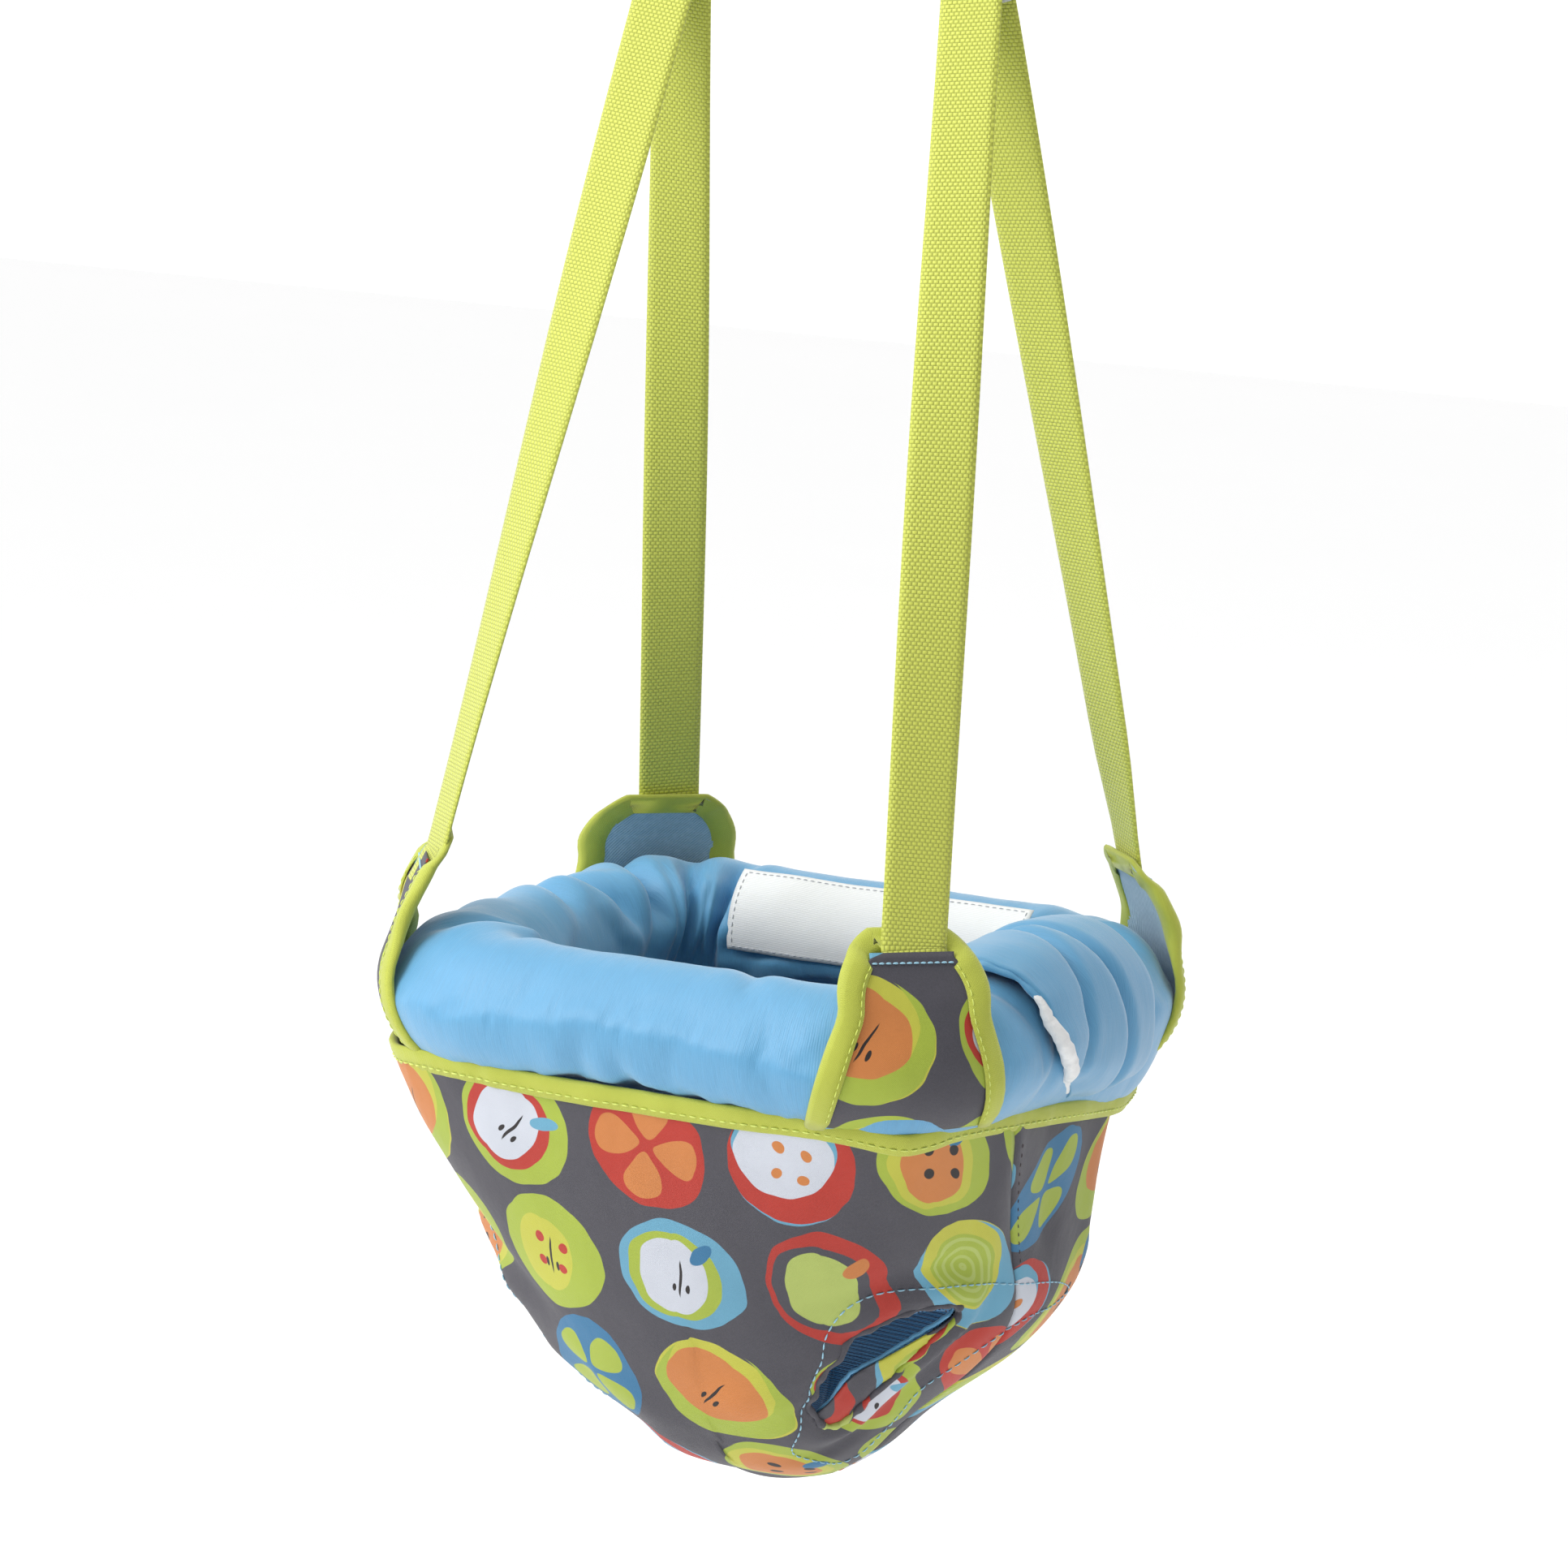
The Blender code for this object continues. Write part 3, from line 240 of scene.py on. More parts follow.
class Graph:
    """One material's nodes. Colours are linear; UVs are read in millimetres."""

    def __init__(self, name, roughness=0.7, sheen=0.0, metallic=0.0, coat=0.0, specular=0.5):
        self.material = bpy.data.materials.new(name)
        self.material.use_nodes = True
        self.tree = self.material.node_tree
        self.shader = self.tree.nodes["Principled BSDF"]
        self.shader.inputs["Roughness"].default_value = roughness
        self.shader.inputs["Metallic"].default_value = metallic
        self.shader.inputs["Sheen Weight"].default_value = sheen
        self.shader.inputs["Sheen Roughness"].default_value = 0.4
        self.shader.inputs["Coat Weight"].default_value = coat
        self.shader.inputs["Coat Roughness"].default_value = 0.3
        self.shader.inputs["Specular IOR Level"].default_value = specular

    def node(self, kind):
        return self.tree.nodes.new(kind)

    def feed(self, place, item):
        if isinstance(item, Number):
            self.tree.links.new(item.socket, place)
        elif isinstance(item, bpy.types.NodeSocket):
            self.tree.links.new(item, place)
        elif place.type == "RGBA":
            place.default_value = (*item[:3], 1.0)
        else:
            place.default_value = item

    def uv(self):
        split = self.node("ShaderNodeSeparateXYZ")
        self.tree.links.new(self.node("ShaderNodeTexCoord").outputs["UV"], split.inputs[0])
        return Number(self, split.outputs[0]) * 1000.0, Number(self, split.outputs[1]) * 1000.0

    def coordinates(self):
        return self.node("ShaderNodeTexCoord").outputs["Object"]

    def vector(self, x, y, z=0.0):
        node = self.node("ShaderNodeCombineXYZ")
        for place, item in zip(node.inputs, (x, y, z)):
            self.feed(place, item)
        return node.outputs[0]

    def noise(self, scale, detail, vector, output=0):
        node = self.node("ShaderNodeTexNoise")
        self.feed(node.inputs["Vector"], vector)
        node.inputs["Scale"].default_value = scale
        node.inputs["Detail"].default_value = detail
        if output:
            return node.outputs[output]
        return Number(self, node.outputs[0])

    def length(self, x, y):
        node = self.node("ShaderNodeVectorMath")
        node.operation = "LENGTH"
        self.feed(node.inputs[0], self.vector(x, y))
        return Number(self, node.outputs["Value"])

    def mix(self, factor, a, b):
        node = self.node("ShaderNodeMix")
        node.data_type = "RGBA"
        self.feed(node.inputs[0], factor)
        self.feed(node.inputs[6], a)
        self.feed(node.inputs[7], b)
        return node.outputs[2]

    def range(self, value, low, high, to_low=0.0, to_high=1.0):
        node = self.node("ShaderNodeMapRange")
        self.feed(node.inputs[0], value)
        for place, item in zip(list(node.inputs)[1:5], (low, high, to_low, to_high)):
            place.default_value = item
        return Number(self, node.outputs[0])

    def colour(self, socket):
        self.feed(self.shader.inputs["Base Color"], socket)

    def roughness(self, value):
        self.feed(self.shader.inputs["Roughness"], value)

    def bump(self, height, depth_mm):
        """Adds a height of 0 to 1 that stands for the given depth, on top of any bump already there."""
        node = self.node("ShaderNodeBump")
        node.inputs["Strength"].default_value = 1.0
        node.inputs["Distance"].default_value = depth_mm * MM
        self.feed(node.inputs["Height"], height)
        earlier = self.shader.inputs["Normal"].links
        if earlier:
            self.tree.links.new(earlier[0].from_socket, node.inputs["Normal"])
        self.tree.links.new(node.outputs[0], self.shader.inputs["Normal"])


def tone(colour, factor):
    """A lighter or darker shade of a colour."""
    return tuple(min(1.0, c * factor) for c in colour)


LIME = (0.53, 0.575, 0.085)
BINDING = (0.48, 0.53, 0.06)
SATIN = (0.112, 0.335, 0.56)
GREY = (0.068, 0.066, 0.080)


def weave(graph, u, v, pitch_u, pitch_v):
    """Plain weave: raised picks in brick order. Returns a height from 0 to 1."""
    across = (u * (math.pi / pitch_u)).op("SINE")
    along = (v * (math.pi / pitch_v)).op("SINE")
    over = across * along
    return graph.range(over, -0.25, 0.9)


def webbing_material():
    """Lime polypropylene webbing: staggered picks with painted shade in the gaps between them, and firm
    selvedges.
    """
    graph = Graph("webbing_weave", roughness=0.6, sheen=0.25)
    u, v = graph.uv()
    row = (v / 1.5).op("FLOOR")
    shift = row.op("FLOORED_MODULO", 2.0) * 1.06
    across = ((u + shift) * (math.pi / 2.12)).op("SINE").abs()
    along = (v * (math.pi / 1.5)).op("SINE").abs()
    pick = across.op("POWER", 0.6) * along.op("POWER", 0.45)
    edge = graph.range(u.abs(), 11.6, 12.3)
    fuzz = graph.noise(900.0, 2.0, graph.coordinates())
    height = pick * (graph.range(edge, 0.0, 1.0, 1.0, 0.5)) + fuzz * 0.12
    # Painted shade: the colour darkens with the picks' height, darkest in the gaps between them
    shade = graph.mix(graph.range(pick, 0.0, 0.75), tone(LIME, 0.66), tone(LIME, 1.06))
    cloud = graph.noise(14.0, 3.0, graph.coordinates())
    graph.colour(graph.mix(graph.range(cloud, 0.35, 0.7, 0.0, 0.35), shade, tone(LIME, 0.88)))
    graph.roughness(graph.range(pick, 0.0, 1.0, 0.78, 0.5))
    graph.bump(height, 0.42)
    return graph.material


def tape_material(name, colour):
    """Folded binding tape: fine cross ribs with painted shade between them, so the raised threads look
    lighter, and soft puckers.
    """
    graph = Graph(name, roughness=0.62, sheen=0.22)
    u, v = graph.uv()
    ribs = weave(graph, u, v, 0.55, 0.4)
    cloud = graph.noise(60.0, 4.0, graph.coordinates())
    # Painted shade: the colour follows the ribs' height, darker in the hollows between them and lighter on
    # the raised threads
    shade = graph.mix(ribs, tone(colour, 0.86), tone(colour, 1.03))
    graph.colour(graph.mix(graph.range(cloud, 0.4, 0.75, 0.0, 0.5), shade, tone(colour, 0.8)))
    graph.roughness(graph.range(cloud, 0.3, 0.7, 0.55, 0.72))
    graph.bump(ribs, 0.1)
    graph.bump(cloud, 0.7)
    return graph.material


def satin_material(name, colour, fold=1.0):
    """Polyester satin: tight filling threads, long soft gloss and small drawn puckers."""
    graph = Graph(name, roughness=0.4, sheen=0.35, specular=0.42)
    u, v = graph.uv()
    drift = graph.noise(40.0, 2.0, graph.vector(u * 0.02, v * 0.4))
    threads = (u * (math.pi / 0.32) + drift * 3.0).op("SINE")
    slubs = graph.noise(1.0, 4.0, graph.vector(u * 1.6, v * 0.09))
    puckers = graph.noise(1.0, 3.0, graph.vector(u * 0.11, v * 0.035))
    cloud = graph.noise(11.0, 2.0, graph.coordinates())
    shade = graph.mix(graph.range(slubs, 0.3, 0.7), tone(colour, 0.94), tone(colour, 1.05))
    graph.colour(graph.mix(graph.range(cloud, 0.3, 0.75, 0.0, 0.4), shade, tone(colour, 0.86)))
    graph.roughness(graph.range(slubs, 0.25, 0.75, 0.36, 0.5))
    graph.bump(graph.range(threads, -1.0, 1.0), 0.035)
    graph.bump(slubs, 0.12)
    graph.bump(puckers, 0.6 * fold)
    return graph.material


def twill_material():
    """Grey blue twill with its diagonal wales."""
    graph = Graph("lining_twill", roughness=0.75, sheen=0.2)
    u, v = graph.uv()
    wale = ((u + v * 0.8) * (math.pi / 1.3)).op("SINE").abs()
    cross = (v * (math.pi / 0.9)).op("SINE").abs()
    height = wale * 0.75 + cross * 0.25
    flecks = graph.noise(420.0, 2.0, graph.coordinates())
    # Painted shade: the colour follows the wales' height, darker in the hollows between them
    shade = graph.mix(height, (0.17, 0.29, 0.39), (0.40, 0.54, 0.64))
    graph.colour(graph.mix(graph.range(flecks, 0.45, 0.7, 0.0, 0.5), shade, (0.42, 0.56, 0.66)))
    graph.bump(height, 0.25)
    return graph.material


def mesh_material():
    """Knitted mesh: staggered round holes, not cut but painted near black as painted shade, in a glossy
    blue knit.
    """
    graph = Graph("lining_mesh", roughness=0.5, sheen=0.3)
    u, v = graph.uv()
    row = (v / 1.5).op("FLOOR")
    x = (u / 1.9 + row.op("FLOORED_MODULO", 2.0) * 0.5).op("FRACT") - 0.5
    y = (v / 1.5).op("FRACT") - 0.5
    hole = graph.range(graph.length(x * 1.25, y), 0.26, 0.4)
    cloud = graph.noise(20.0, 3.0, graph.coordinates())
    knit = graph.mix(graph.range(cloud, 0.35, 0.7), (0.02, 0.13, 0.30), (0.035, 0.19, 0.40))
    # The holes are not cut through: painted shade, near black, stands for what lies behind them
    graph.colour(graph.mix(hole, (0.004, 0.02, 0.06), knit))
    graph.roughness(graph.range(hole, 0.0, 1.0, 0.9, 0.45))
    graph.bump(hole, 0.45)
    return graph.material


def label_material():
    """White woven label: satin rows and faintly yellowed patches."""
    graph = Graph("label_weave", roughness=0.5, sheen=0.15)
    _, v = graph.uv()
    rows = (v * (math.pi / 0.6)).op("SINE").abs()
    cloud = graph.noise(30.0, 3.0, graph.coordinates())
    # Painted shade: the colour follows the rows' height, darker in the hollows between them
    shade = graph.mix(rows, (0.70, 0.72, 0.74), (0.86, 0.87, 0.88))
    graph.colour(graph.mix(graph.range(cloud, 0.4, 0.8, 0.0, 0.3), shade, (0.74, 0.74, 0.70)))
    graph.bump(rows, 0.06)
    graph.bump(cloud, 0.5)
    return graph.material


def thread_material(name, colour):
    """Sewing thread with its twisted plies."""
    graph = Graph(name, roughness=0.5, sheen=0.3)
    ply = graph.noise(700.0, 2.0, graph.coordinates())
    graph.colour(graph.mix(ply, tone(colour, 0.72), tone(colour, 1.1)))
    graph.bump(ply, 0.15)
    return graph.material


def batting_material():
    """White polyester fibre fill."""
    graph = Graph("batting_fibre", roughness=0.95, sheen=0.4)
    fibre = graph.noise(260.0, 6.0, graph.coordinates())
    graph.colour(graph.mix(fibre, (0.62, 0.63, 0.64), (0.92, 0.92, 0.92)))
    graph.bump(fibre, 1.2)
    return graph.material


def plastic_material(name, colour, roughness=0.42, ribs=None):
    """Moulded plastic: fine spark texture, soft flow marks; ribs are an axis and a pitch in mm."""
    graph = Graph(name, roughness=roughness, coat=0.08)
    place = graph.coordinates()
    grain = graph.noise(1400.0, 3.0, place)
    flow = graph.noise(25.0, 4.0, place)
    graph.colour(graph.mix(graph.range(flow, 0.3, 0.75), tone(colour, 0.93), tone(colour, 1.04)))
    graph.roughness(graph.range(flow, 0.3, 0.75, roughness - 0.08, roughness + 0.14))
    graph.bump(grain, 0.05)
    if ribs:
        split = graph.node("ShaderNodeSeparateXYZ")
        graph.feed(split.inputs[0], place)
        wave_along = (Number(graph, split.outputs[ribs[0]]) * (2000 * math.pi / ribs[1])).op("SINE")
        graph.bump(graph.range(wave_along, -0.5, 0.4), 0.7)
    return graph.material


def metal_material(name, colour, roughness=0.3, metallic=1.0):
    """Metal with a fine drawn grain, dull spots and light handling marks."""
    graph = Graph(name, roughness=roughness, metallic=metallic)
    place = graph.coordinates()
    spots = graph.noise(120.0, 6.0, place)
    grain = graph.noise(2200.0, 2.0, place)
    graph.colour(graph.mix(graph.range(spots, 0.35, 0.75), colour, tone(colour, 0.78)))
    graph.roughness(graph.range(spots, 0.3, 0.75, roughness - 0.08, roughness + 0.2))
    graph.bump(grain, 0.03)
    return graph.material


# ---------------------------------------------------------------- printed fabric

RED = (0.44, 0.035, 0.022)
ORANGE = (0.56, 0.20, 0.055)
YELLOW = (0.50, 0.50, 0.06)
GREEN = (0.35, 0.44, 0.05)
PALE_GREEN = (0.43, 0.52, 0.13)
SKY = (0.13, 0.35, 0.50)
BLUE = (0.035, 0.17, 0.33)
WHITE = (0.56, 0.59, 0.66)
DARK = (0.02, 0.016, 0.016)

# Ten generic motifs. Each row: disc, body, flesh, petals, coil, crescent, leaf, strokes, dots.
MOTIFS = (
    (YELLOW, ORANGE, None, None, None, GREEN, None, DARK, None),
    (GREEN, RED, WHITE, None, None, None, SKY, DARK, None),
    (RED, None, None, ORANGE, None, None, None, None, None),
    (SKY, WHITE, None, None, None, RED, None, None, ORANGE),
    (GREEN, YELLOW, ORANGE, None, None, None, BLUE, None, DARK),
    (GREEN, None, YELLOW, None, None, None, None, DARK, RED),
    (SKY, GREEN, WHITE, None, None, None, BLUE, DARK, None),
    (RED, GREY, PALE_GREEN, None, None, None, ORANGE, None, None),
    (YELLOW, None, None, None, GREEN, SKY, None, None, None),
    (BLUE, None, None, GREEN, None, None, None, None, None),
)
COIL = 4                            # the coil's column, which is drawn in bands
PRINT_A = (60.5, 1.5)               # steps between motifs, in millimetres on the fabric
PRINT_B = (6.0, -54.5)


def print_material(name, origin):
    """Grey polyester printed with rows of round fruit and leaf motifs; origin places one, in mm."""
    graph = Graph(name, roughness=0.55, sheen=0.06, specular=0.3)
    u, v = graph.uv()
    wobble = graph.node("ShaderNodeSeparateColor")
    drift = graph.noise(1.0, 1.5, graph.vector(u * 0.055, v * 0.055), 1)
    graph.feed(wobble.inputs[0], drift)
    u0, v0 = u - origin[0], v - origin[1]
    det = PRINT_A[0] * PRINT_B[1] - PRINT_A[1] * PRINT_B[0]
    column = ((u0 * PRINT_B[1] - v0 * PRINT_B[0]) / det).op("ROUND")
    line = ((v0 * PRINT_A[0] - u0 * PRINT_A[1]) / det).op("ROUND")
    px = u0 - column * PRINT_A[0] - line * PRINT_B[0] + (Number(graph, wobble.outputs[0]) - 0.5) * 5.0
    py = v0 - column * PRINT_A[1] - line * PRINT_B[1] + (Number(graph, wobble.outputs[1]) - 0.5) * 5.0
    chance = graph.node("ShaderNodeTexWhiteNoise")
    chance.noise_dimensions = "2D"
    graph.feed(chance.inputs["Vector"], graph.vector(column, line))
    lot = Number(graph, chance.outputs["Value"])
    turn = (lot - 0.5) * 1.5
    cos, sin = turn.op("COSINE"), turn.op("SINE")
    x, y = px * cos - py * sin, px * sin + py * cos
    squeeze = (lot * 7.3).op("FRACT") * 0.14 - 0.07
    motif = (column + line * 4.0).op("FLOORED_MODULO", 10.0)
    pick = (motif + 0.5) / 10.0
    side_x, side_y = x.abs(), y.abs()
    far, near = (side_x + side_y) * 0.7071, (side_x - side_y) * 0.7071
    coil = graph.length(x + 2.5, y - 2.5)
    # One signed distance in mm for each column of MOTIFS, positive inside the shape
    shapes = (
        graph.length(x * (squeeze + 1.0), y / (squeeze + 1.0)) * -1.0 + 25.4,
        graph.length((x + 3.0).abs() - 3.4, (y + 1.0) * 0.86) * -1.0 + 16.4,
        graph.length((x + 3.6).abs() - 2.5, (y + 1.2) * 0.72) * -1.0 + 11.8,
        (graph.length((far - 12.6) / 9.6, near / (far * 0.047 + 0.36) / 7.9) * -1.0 + 1.0) * 7.0,
        coil * -1.0 + 16.2,
        (graph.length(x + 4.0, y - 5.0) - 20.5).op("MINIMUM", graph.length(x, y) * -1.0 + 25.4),
        (graph.length((x + y - 20.5) / 9.5, (x - y + 3.0) / 4.2) * -1.0 + 1.0) * 3.0,
        (graph.length((side_x - 2.9) / 0.9, (y + 5.0) / 2.1) * -1.0 + 1.0).op(
            "MAXIMUM", graph.length((x + 0.3) / 0.62, (y + 1.0) / 8.5) * -1.0 + 1.0) * 1.2,
        graph.length(side_x - 5.8, side_y - 5.2) * -1.0 + 2.3,
    )
    fibres = graph.noise(1500.0, 2.0, graph.coordinates())
    shade = graph.mix(graph.range(fibres, 0.3, 0.7), tone(GREY, 0.9), tone(GREY, 1.08))
    for layer, inside in enumerate(shapes):
        table = graph.node("ShaderNodeValToRGB")
        table.color_ramp.interpolation = "CONSTANT"
        stops = table.color_ramp.elements
        while len(stops) < len(MOTIFS):
            stops.new(0.999)
        for place, row in enumerate(MOTIFS):
            stops[place].position = place / len(MOTIFS)
            stops[place].color = (*row[layer], 1.0) if row[layer] else (0.0, 0.0, 0.0, 0.0)
        graph.feed(table.inputs[0], pick)
        mask = (inside / 0.22 + 0.5).clamp() * Number(graph, table.outputs["Alpha"])
        if layer == COIL:
            bands = graph.range((coil * 1.5).op("SINE"), 0.1, 0.6)
            swirl = graph.mix(bands, table.outputs["Color"], PALE_GREEN)
            shade = graph.mix(mask, shade, swirl)
        else:
            shade = graph.mix(mask, shade, table.outputs["Color"])
    cloud = graph.noise(13.0, 3.0, graph.coordinates())
    shade = graph.mix(graph.range(cloud, 0.35, 0.8, 0.0, 0.22), shade, tone(GREY, 0.8))
    graph.colour(shade)
    threads = weave(graph, u, v, 0.36, 0.36)
    graph.roughness(graph.range(cloud, 0.3, 0.7, 0.5, 0.64))
    graph.bump(threads, 0.05)
    graph.bump(graph.noise(1.0, 3.0, graph.vector(u * 0.045, v * 0.03)), 1.3)
    return graph.material


# ---------------------------------------------------------------- mesh helpers

def link(name, data, material):
    """A smooth-shaded object in the scene for a mesh."""
    piece = bpy.data.objects.new(name, data)
    SCENE.collection.objects.link(piece)
    data.materials.append(material)
    data.shade_smooth()
    return piece


def dress(piece, slot, *nodes, body="seat"):
    """Gives a placed piece its body and hides the CAD nodes that it stands for; slot is not used."""
    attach(piece, body)
    if nodes:
        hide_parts(*nodes)


def mesh_object(name, points, faces, uvs, material):
    """A mesh from vertices, faces and one UV per vertex, in metres."""
    data = bpy.data.meshes.new(name)
    data.from_pydata([tuple(p) for p in points], [], [tuple(f) for f in faces])
    layer = data.uv_layers.new(name="UVMap")
    order = np.empty(len(data.loops), dtype=np.int32)
    data.loops.foreach_get("vertex_index", order)
    layer.data.foreach_set("uv", np.asarray(uvs, dtype=np.float32)[order].ravel())
    data.validate()
    return link(name, data, material)


def grid_object(name, points, uvs, material, wrap_columns=False, wrap_rows=False):
    """A grid of quads. Where it wraps, the UVs have one more column or row than the points."""
    points, uvs = np.asarray(points, dtype=float), np.asarray(uvs, dtype=float)
    rows, columns = points.shape[:2]
    index = np.arange(rows * columns).reshape(rows, columns)
    if wrap_columns:
        index = np.hstack([index, index[:, :1]])
    if wrap_rows:
        index = np.vstack([index, index[:1]])
    corners = (slice(None, -1), slice(None, -1)), (slice(None, -1), slice(1, None)), \
        (slice(1, None), slice(1, None)), (slice(1, None), slice(None, -1))
    quads = np.stack([index[a, b] for a, b in corners], axis=-1).reshape(-1, 4)
    data = bpy.data.meshes.new(name)
    data.from_pydata(points.reshape(-1, 3).tolist(), [], quads.tolist())
    layer = data.uv_layers.new(name="UVMap")
    values = np.stack([uvs[a, b] for a, b in corners], axis=-2).reshape(-1, 2)
    layer.data.foreach_set("uv", values.astype(np.float32).ravel())
    return link(name, data, material)


def thicken(piece, thickness, offset=0.0):
    """Gives a sheet its thickness: to both sides at offset 0, inwards only at -1."""
    skin = piece.modifiers.new("thickness", "SOLIDIFY")
    skin.thickness = thickness
    skin.offset = offset
    skin.use_even_offset = False


def cap_ends(piece):
    """Closes a tube's open ends with flat faces."""
    bm = bmesh.new()
    bm.from_mesh(piece.data)
    bmesh.ops.holes_fill(bm, edges=[e for e in bm.edges if e.is_boundary], sides=0)
    bmesh.ops.recalc_face_normals(bm, faces=bm.faces)
    bm.to_mesh(piece.data)
    bm.free()
    piece.data.shade_smooth()


def smoothstep(t):
    """0 to 1 with level ends, for a number or an array."""
    t = np.clip(t, 0.0, 1.0)
    return t * t * (3 - 2 * t)


def cubic_weights(t):
    """Weights of a start, its slope, an end and its slope, at t on a cubic between them."""
    return 2 * t ** 3 - 3 * t ** 2 + 1, t ** 3 - 2 * t ** 2 + t, 3 * t ** 2 - 2 * t ** 3, t ** 3 - t ** 2


def catmull_rom(p0, p1, p2, p3, t):
    """A point between p1 and p2 on the smooth curve through all four."""
    start, start_slope, end, end_slope = cubic_weights(t)
    return p1 * start + (p2 - p0) / 2 * start_slope + p2 * end + (p3 - p1) / 2 * end_slope


def frames_along(path, cyclic):
    """Parallel-transported side vectors along a path, turned evenly so that a loop closes."""
    count = len(path)
    tangents = []
    for i in range(count):
        after = path[(i + 1) % count] if cyclic else path[min(i + 1, count - 1)]
        before = path[i - 1] if cyclic or i else path[0]
        tangents.append((after - before).normalized())
    side = tangents[0].orthogonal().normalized()
    sides = [side]
    for before, here in zip(tangents, tangents[1:]):
        side = before.rotation_difference(here) @ side
        sides.append(side.normalized())
    if cyclic:
        closed = tangents[-1].rotation_difference(tangents[0]) @ sides[-1]
        gap = closed.angle(sides[0])
        if tangents[0].dot(closed.cross(sides[0])) < 0:
            gap = -gap
        turns = [Matrix.Rotation(gap * i / count, 3, along) for i, along in enumerate(tangents)]
        sides = [turn @ side for turn, side in zip(turns, sides)]
    return tangents, sides


def tube_object(name, path, radius, material, sides=10, cyclic=False, taper=None):
    """A round tube along points, with closed ends. UV: u round the tube, v along it."""
    path = [Vector(p) for p in path]
    tangents, across = frames_along(path, cyclic)
    rows, uvs, run = [], [], 0.0
    for i, (point, along, side) in enumerate(zip(path, tangents, across)):
        if i:
            run += (point - path[i - 1]).length
        up = along.cross(side)
        r = radius * (taper(i / (len(path) - 1)) if taper else 1.0)
        rows.append([point + (side * math.cos(a) + up * math.sin(a)) * r
                     for a in np.linspace(0, 2 * math.pi, sides, endpoint=False)])
        uvs.append([(2 * math.pi * radius * k / sides, run) for k in range(sides + 1)])
    if cyclic:
        run += (path[0] - path[-1]).length
        uvs.append([(2 * math.pi * radius * k / sides, run) for k in range(sides + 1)])
    piece = grid_object(name, rows, uvs, material, True, cyclic)
    if not cyclic:
        cap_ends(piece)
    return piece


STITCH_SINK = 0.1                    # how far a stitch's ends lie under the cloth, in mm


def stitch_row(name, path, outward, material, length, gap, radius):
    """A row of sewn stitches: short raised threads that dive into the cloth at both ends; in mm."""
    path = np.asarray([tuple(p) for p in path])
    outward = np.asarray([tuple(n) for n in outward])
    steps = np.linalg.norm(np.diff(path, axis=0), axis=1)
    run = np.concatenate([[0.0], np.cumsum(steps)])
    total, pitch = run[-1], (length + gap) * MM
    number = max(1, int(total / pitch))
    pitch = total / number
    rings, sides = 6, 5
    points, faces = [], []

    def sample(values, s):
        return np.array([np.interp(s, run, values[:, k]) for k in range(3)])

    for n in range(number):
        start = n * pitch + 0.5 * (pitch - length * MM)
        base = len(points)
        along = sample(path, start + length * MM) - sample(path, start)
        along /= max(np.linalg.norm(along), 1e-9)
        for k in range(rings):
            t = k / (rings - 1)
            s = start + length * MM * t
            up = sample(outward, s)
            up /= max(np.linalg.norm(up), 1e-9)
            side = np.cross(along, up)
            lift = (radius * math.sin(math.pi * t) ** 0.5 - STITCH_SINK) * MM
            centre = sample(path, s) + up * lift
            r = radius * MM * (0.35 + 0.65 * math.sin(math.pi * t) ** 0.5)
            for q in range(sides):
                a = 2 * math.pi * q / sides
                points.append(centre + (up * math.cos(a) + side * math.sin(a)) * r)
        for k in range(rings - 1):
            for q in range(sides):
                a, b = base + k * sides + q, base + k * sides + (q + 1) % sides
                faces.append((a, b, b + sides, a + sides))
        faces.append([base + q for q in range(sides)][::-1])
        faces.append([base + (rings - 1) * sides + q for q in range(sides)])
    return mesh_object(name, points, faces, np.zeros((len(points), 2)), material)


def closed_stitches(name, path, outward, *looks):
    """A row of stitches that ends where it starts."""
    return stitch_row(name, path + path[:1], outward + outward[:1], *looks)


def wave(point, scale, seed=0.0):
    """Smooth noise from -1 to 1 at a point, with the given wavelength."""
    x, y, z = (value / scale for value in point)
    return noise.noise(Vector((x + seed, y - seed, z + 3 * seed)))


# ---------------------------------------------------------------- the padded ring

def ring_frame(s):
    """Centre and outward direction of the roll at arc length s, from the right side towards the back."""
    flat_x, flat_y = RING_FLAT
    quarter = math.pi / 2 * RING_CORNER_R
    s %= RING_LENGTH
    legs = ((flat_y, None), (quarter, 0), (2 * flat_x, None), (quarter, 1), (2 * flat_y, None),
            (quarter, 2), (2 * flat_x, None), (quarter, 3), (flat_y, None))
    starts = ((RING_HALF[0], 0), None, (flat_x, RING_HALF[1]), None, (-RING_HALF[0], flat_y), None,
              (-flat_x, -RING_HALF[1]), None, (RING_HALF[0], -flat_y))
    moves = ((0, 1), None, (-1, 0), None, (0, -1), None, (1, 0), None, (0, 1))
    for (reach, corner), start, move in zip(legs, starts, moves):
        if s > reach:
            s -= reach
            continue
        if corner is None:
            x, y = start[0] + move[0] * s, start[1] + move[1] * s
            out = Vector((move[1], -move[0], 0))
        else:
            angle = math.pi / 2 * corner + s / RING_CORNER_R
            out = Vector((math.cos(angle), math.sin(angle), 0))
            middle = math.pi / 2 * corner + math.pi / 4
            x = math.copysign(flat_x, math.cos(middle)) + RING_CORNER_R * out.x
            y = math.copysign(flat_y, math.sin(middle)) + RING_CORNER_R * out.y
        return Vector((RING.x + x, RING.y + y, RING.z)), out
    return ring_frame(0.0)


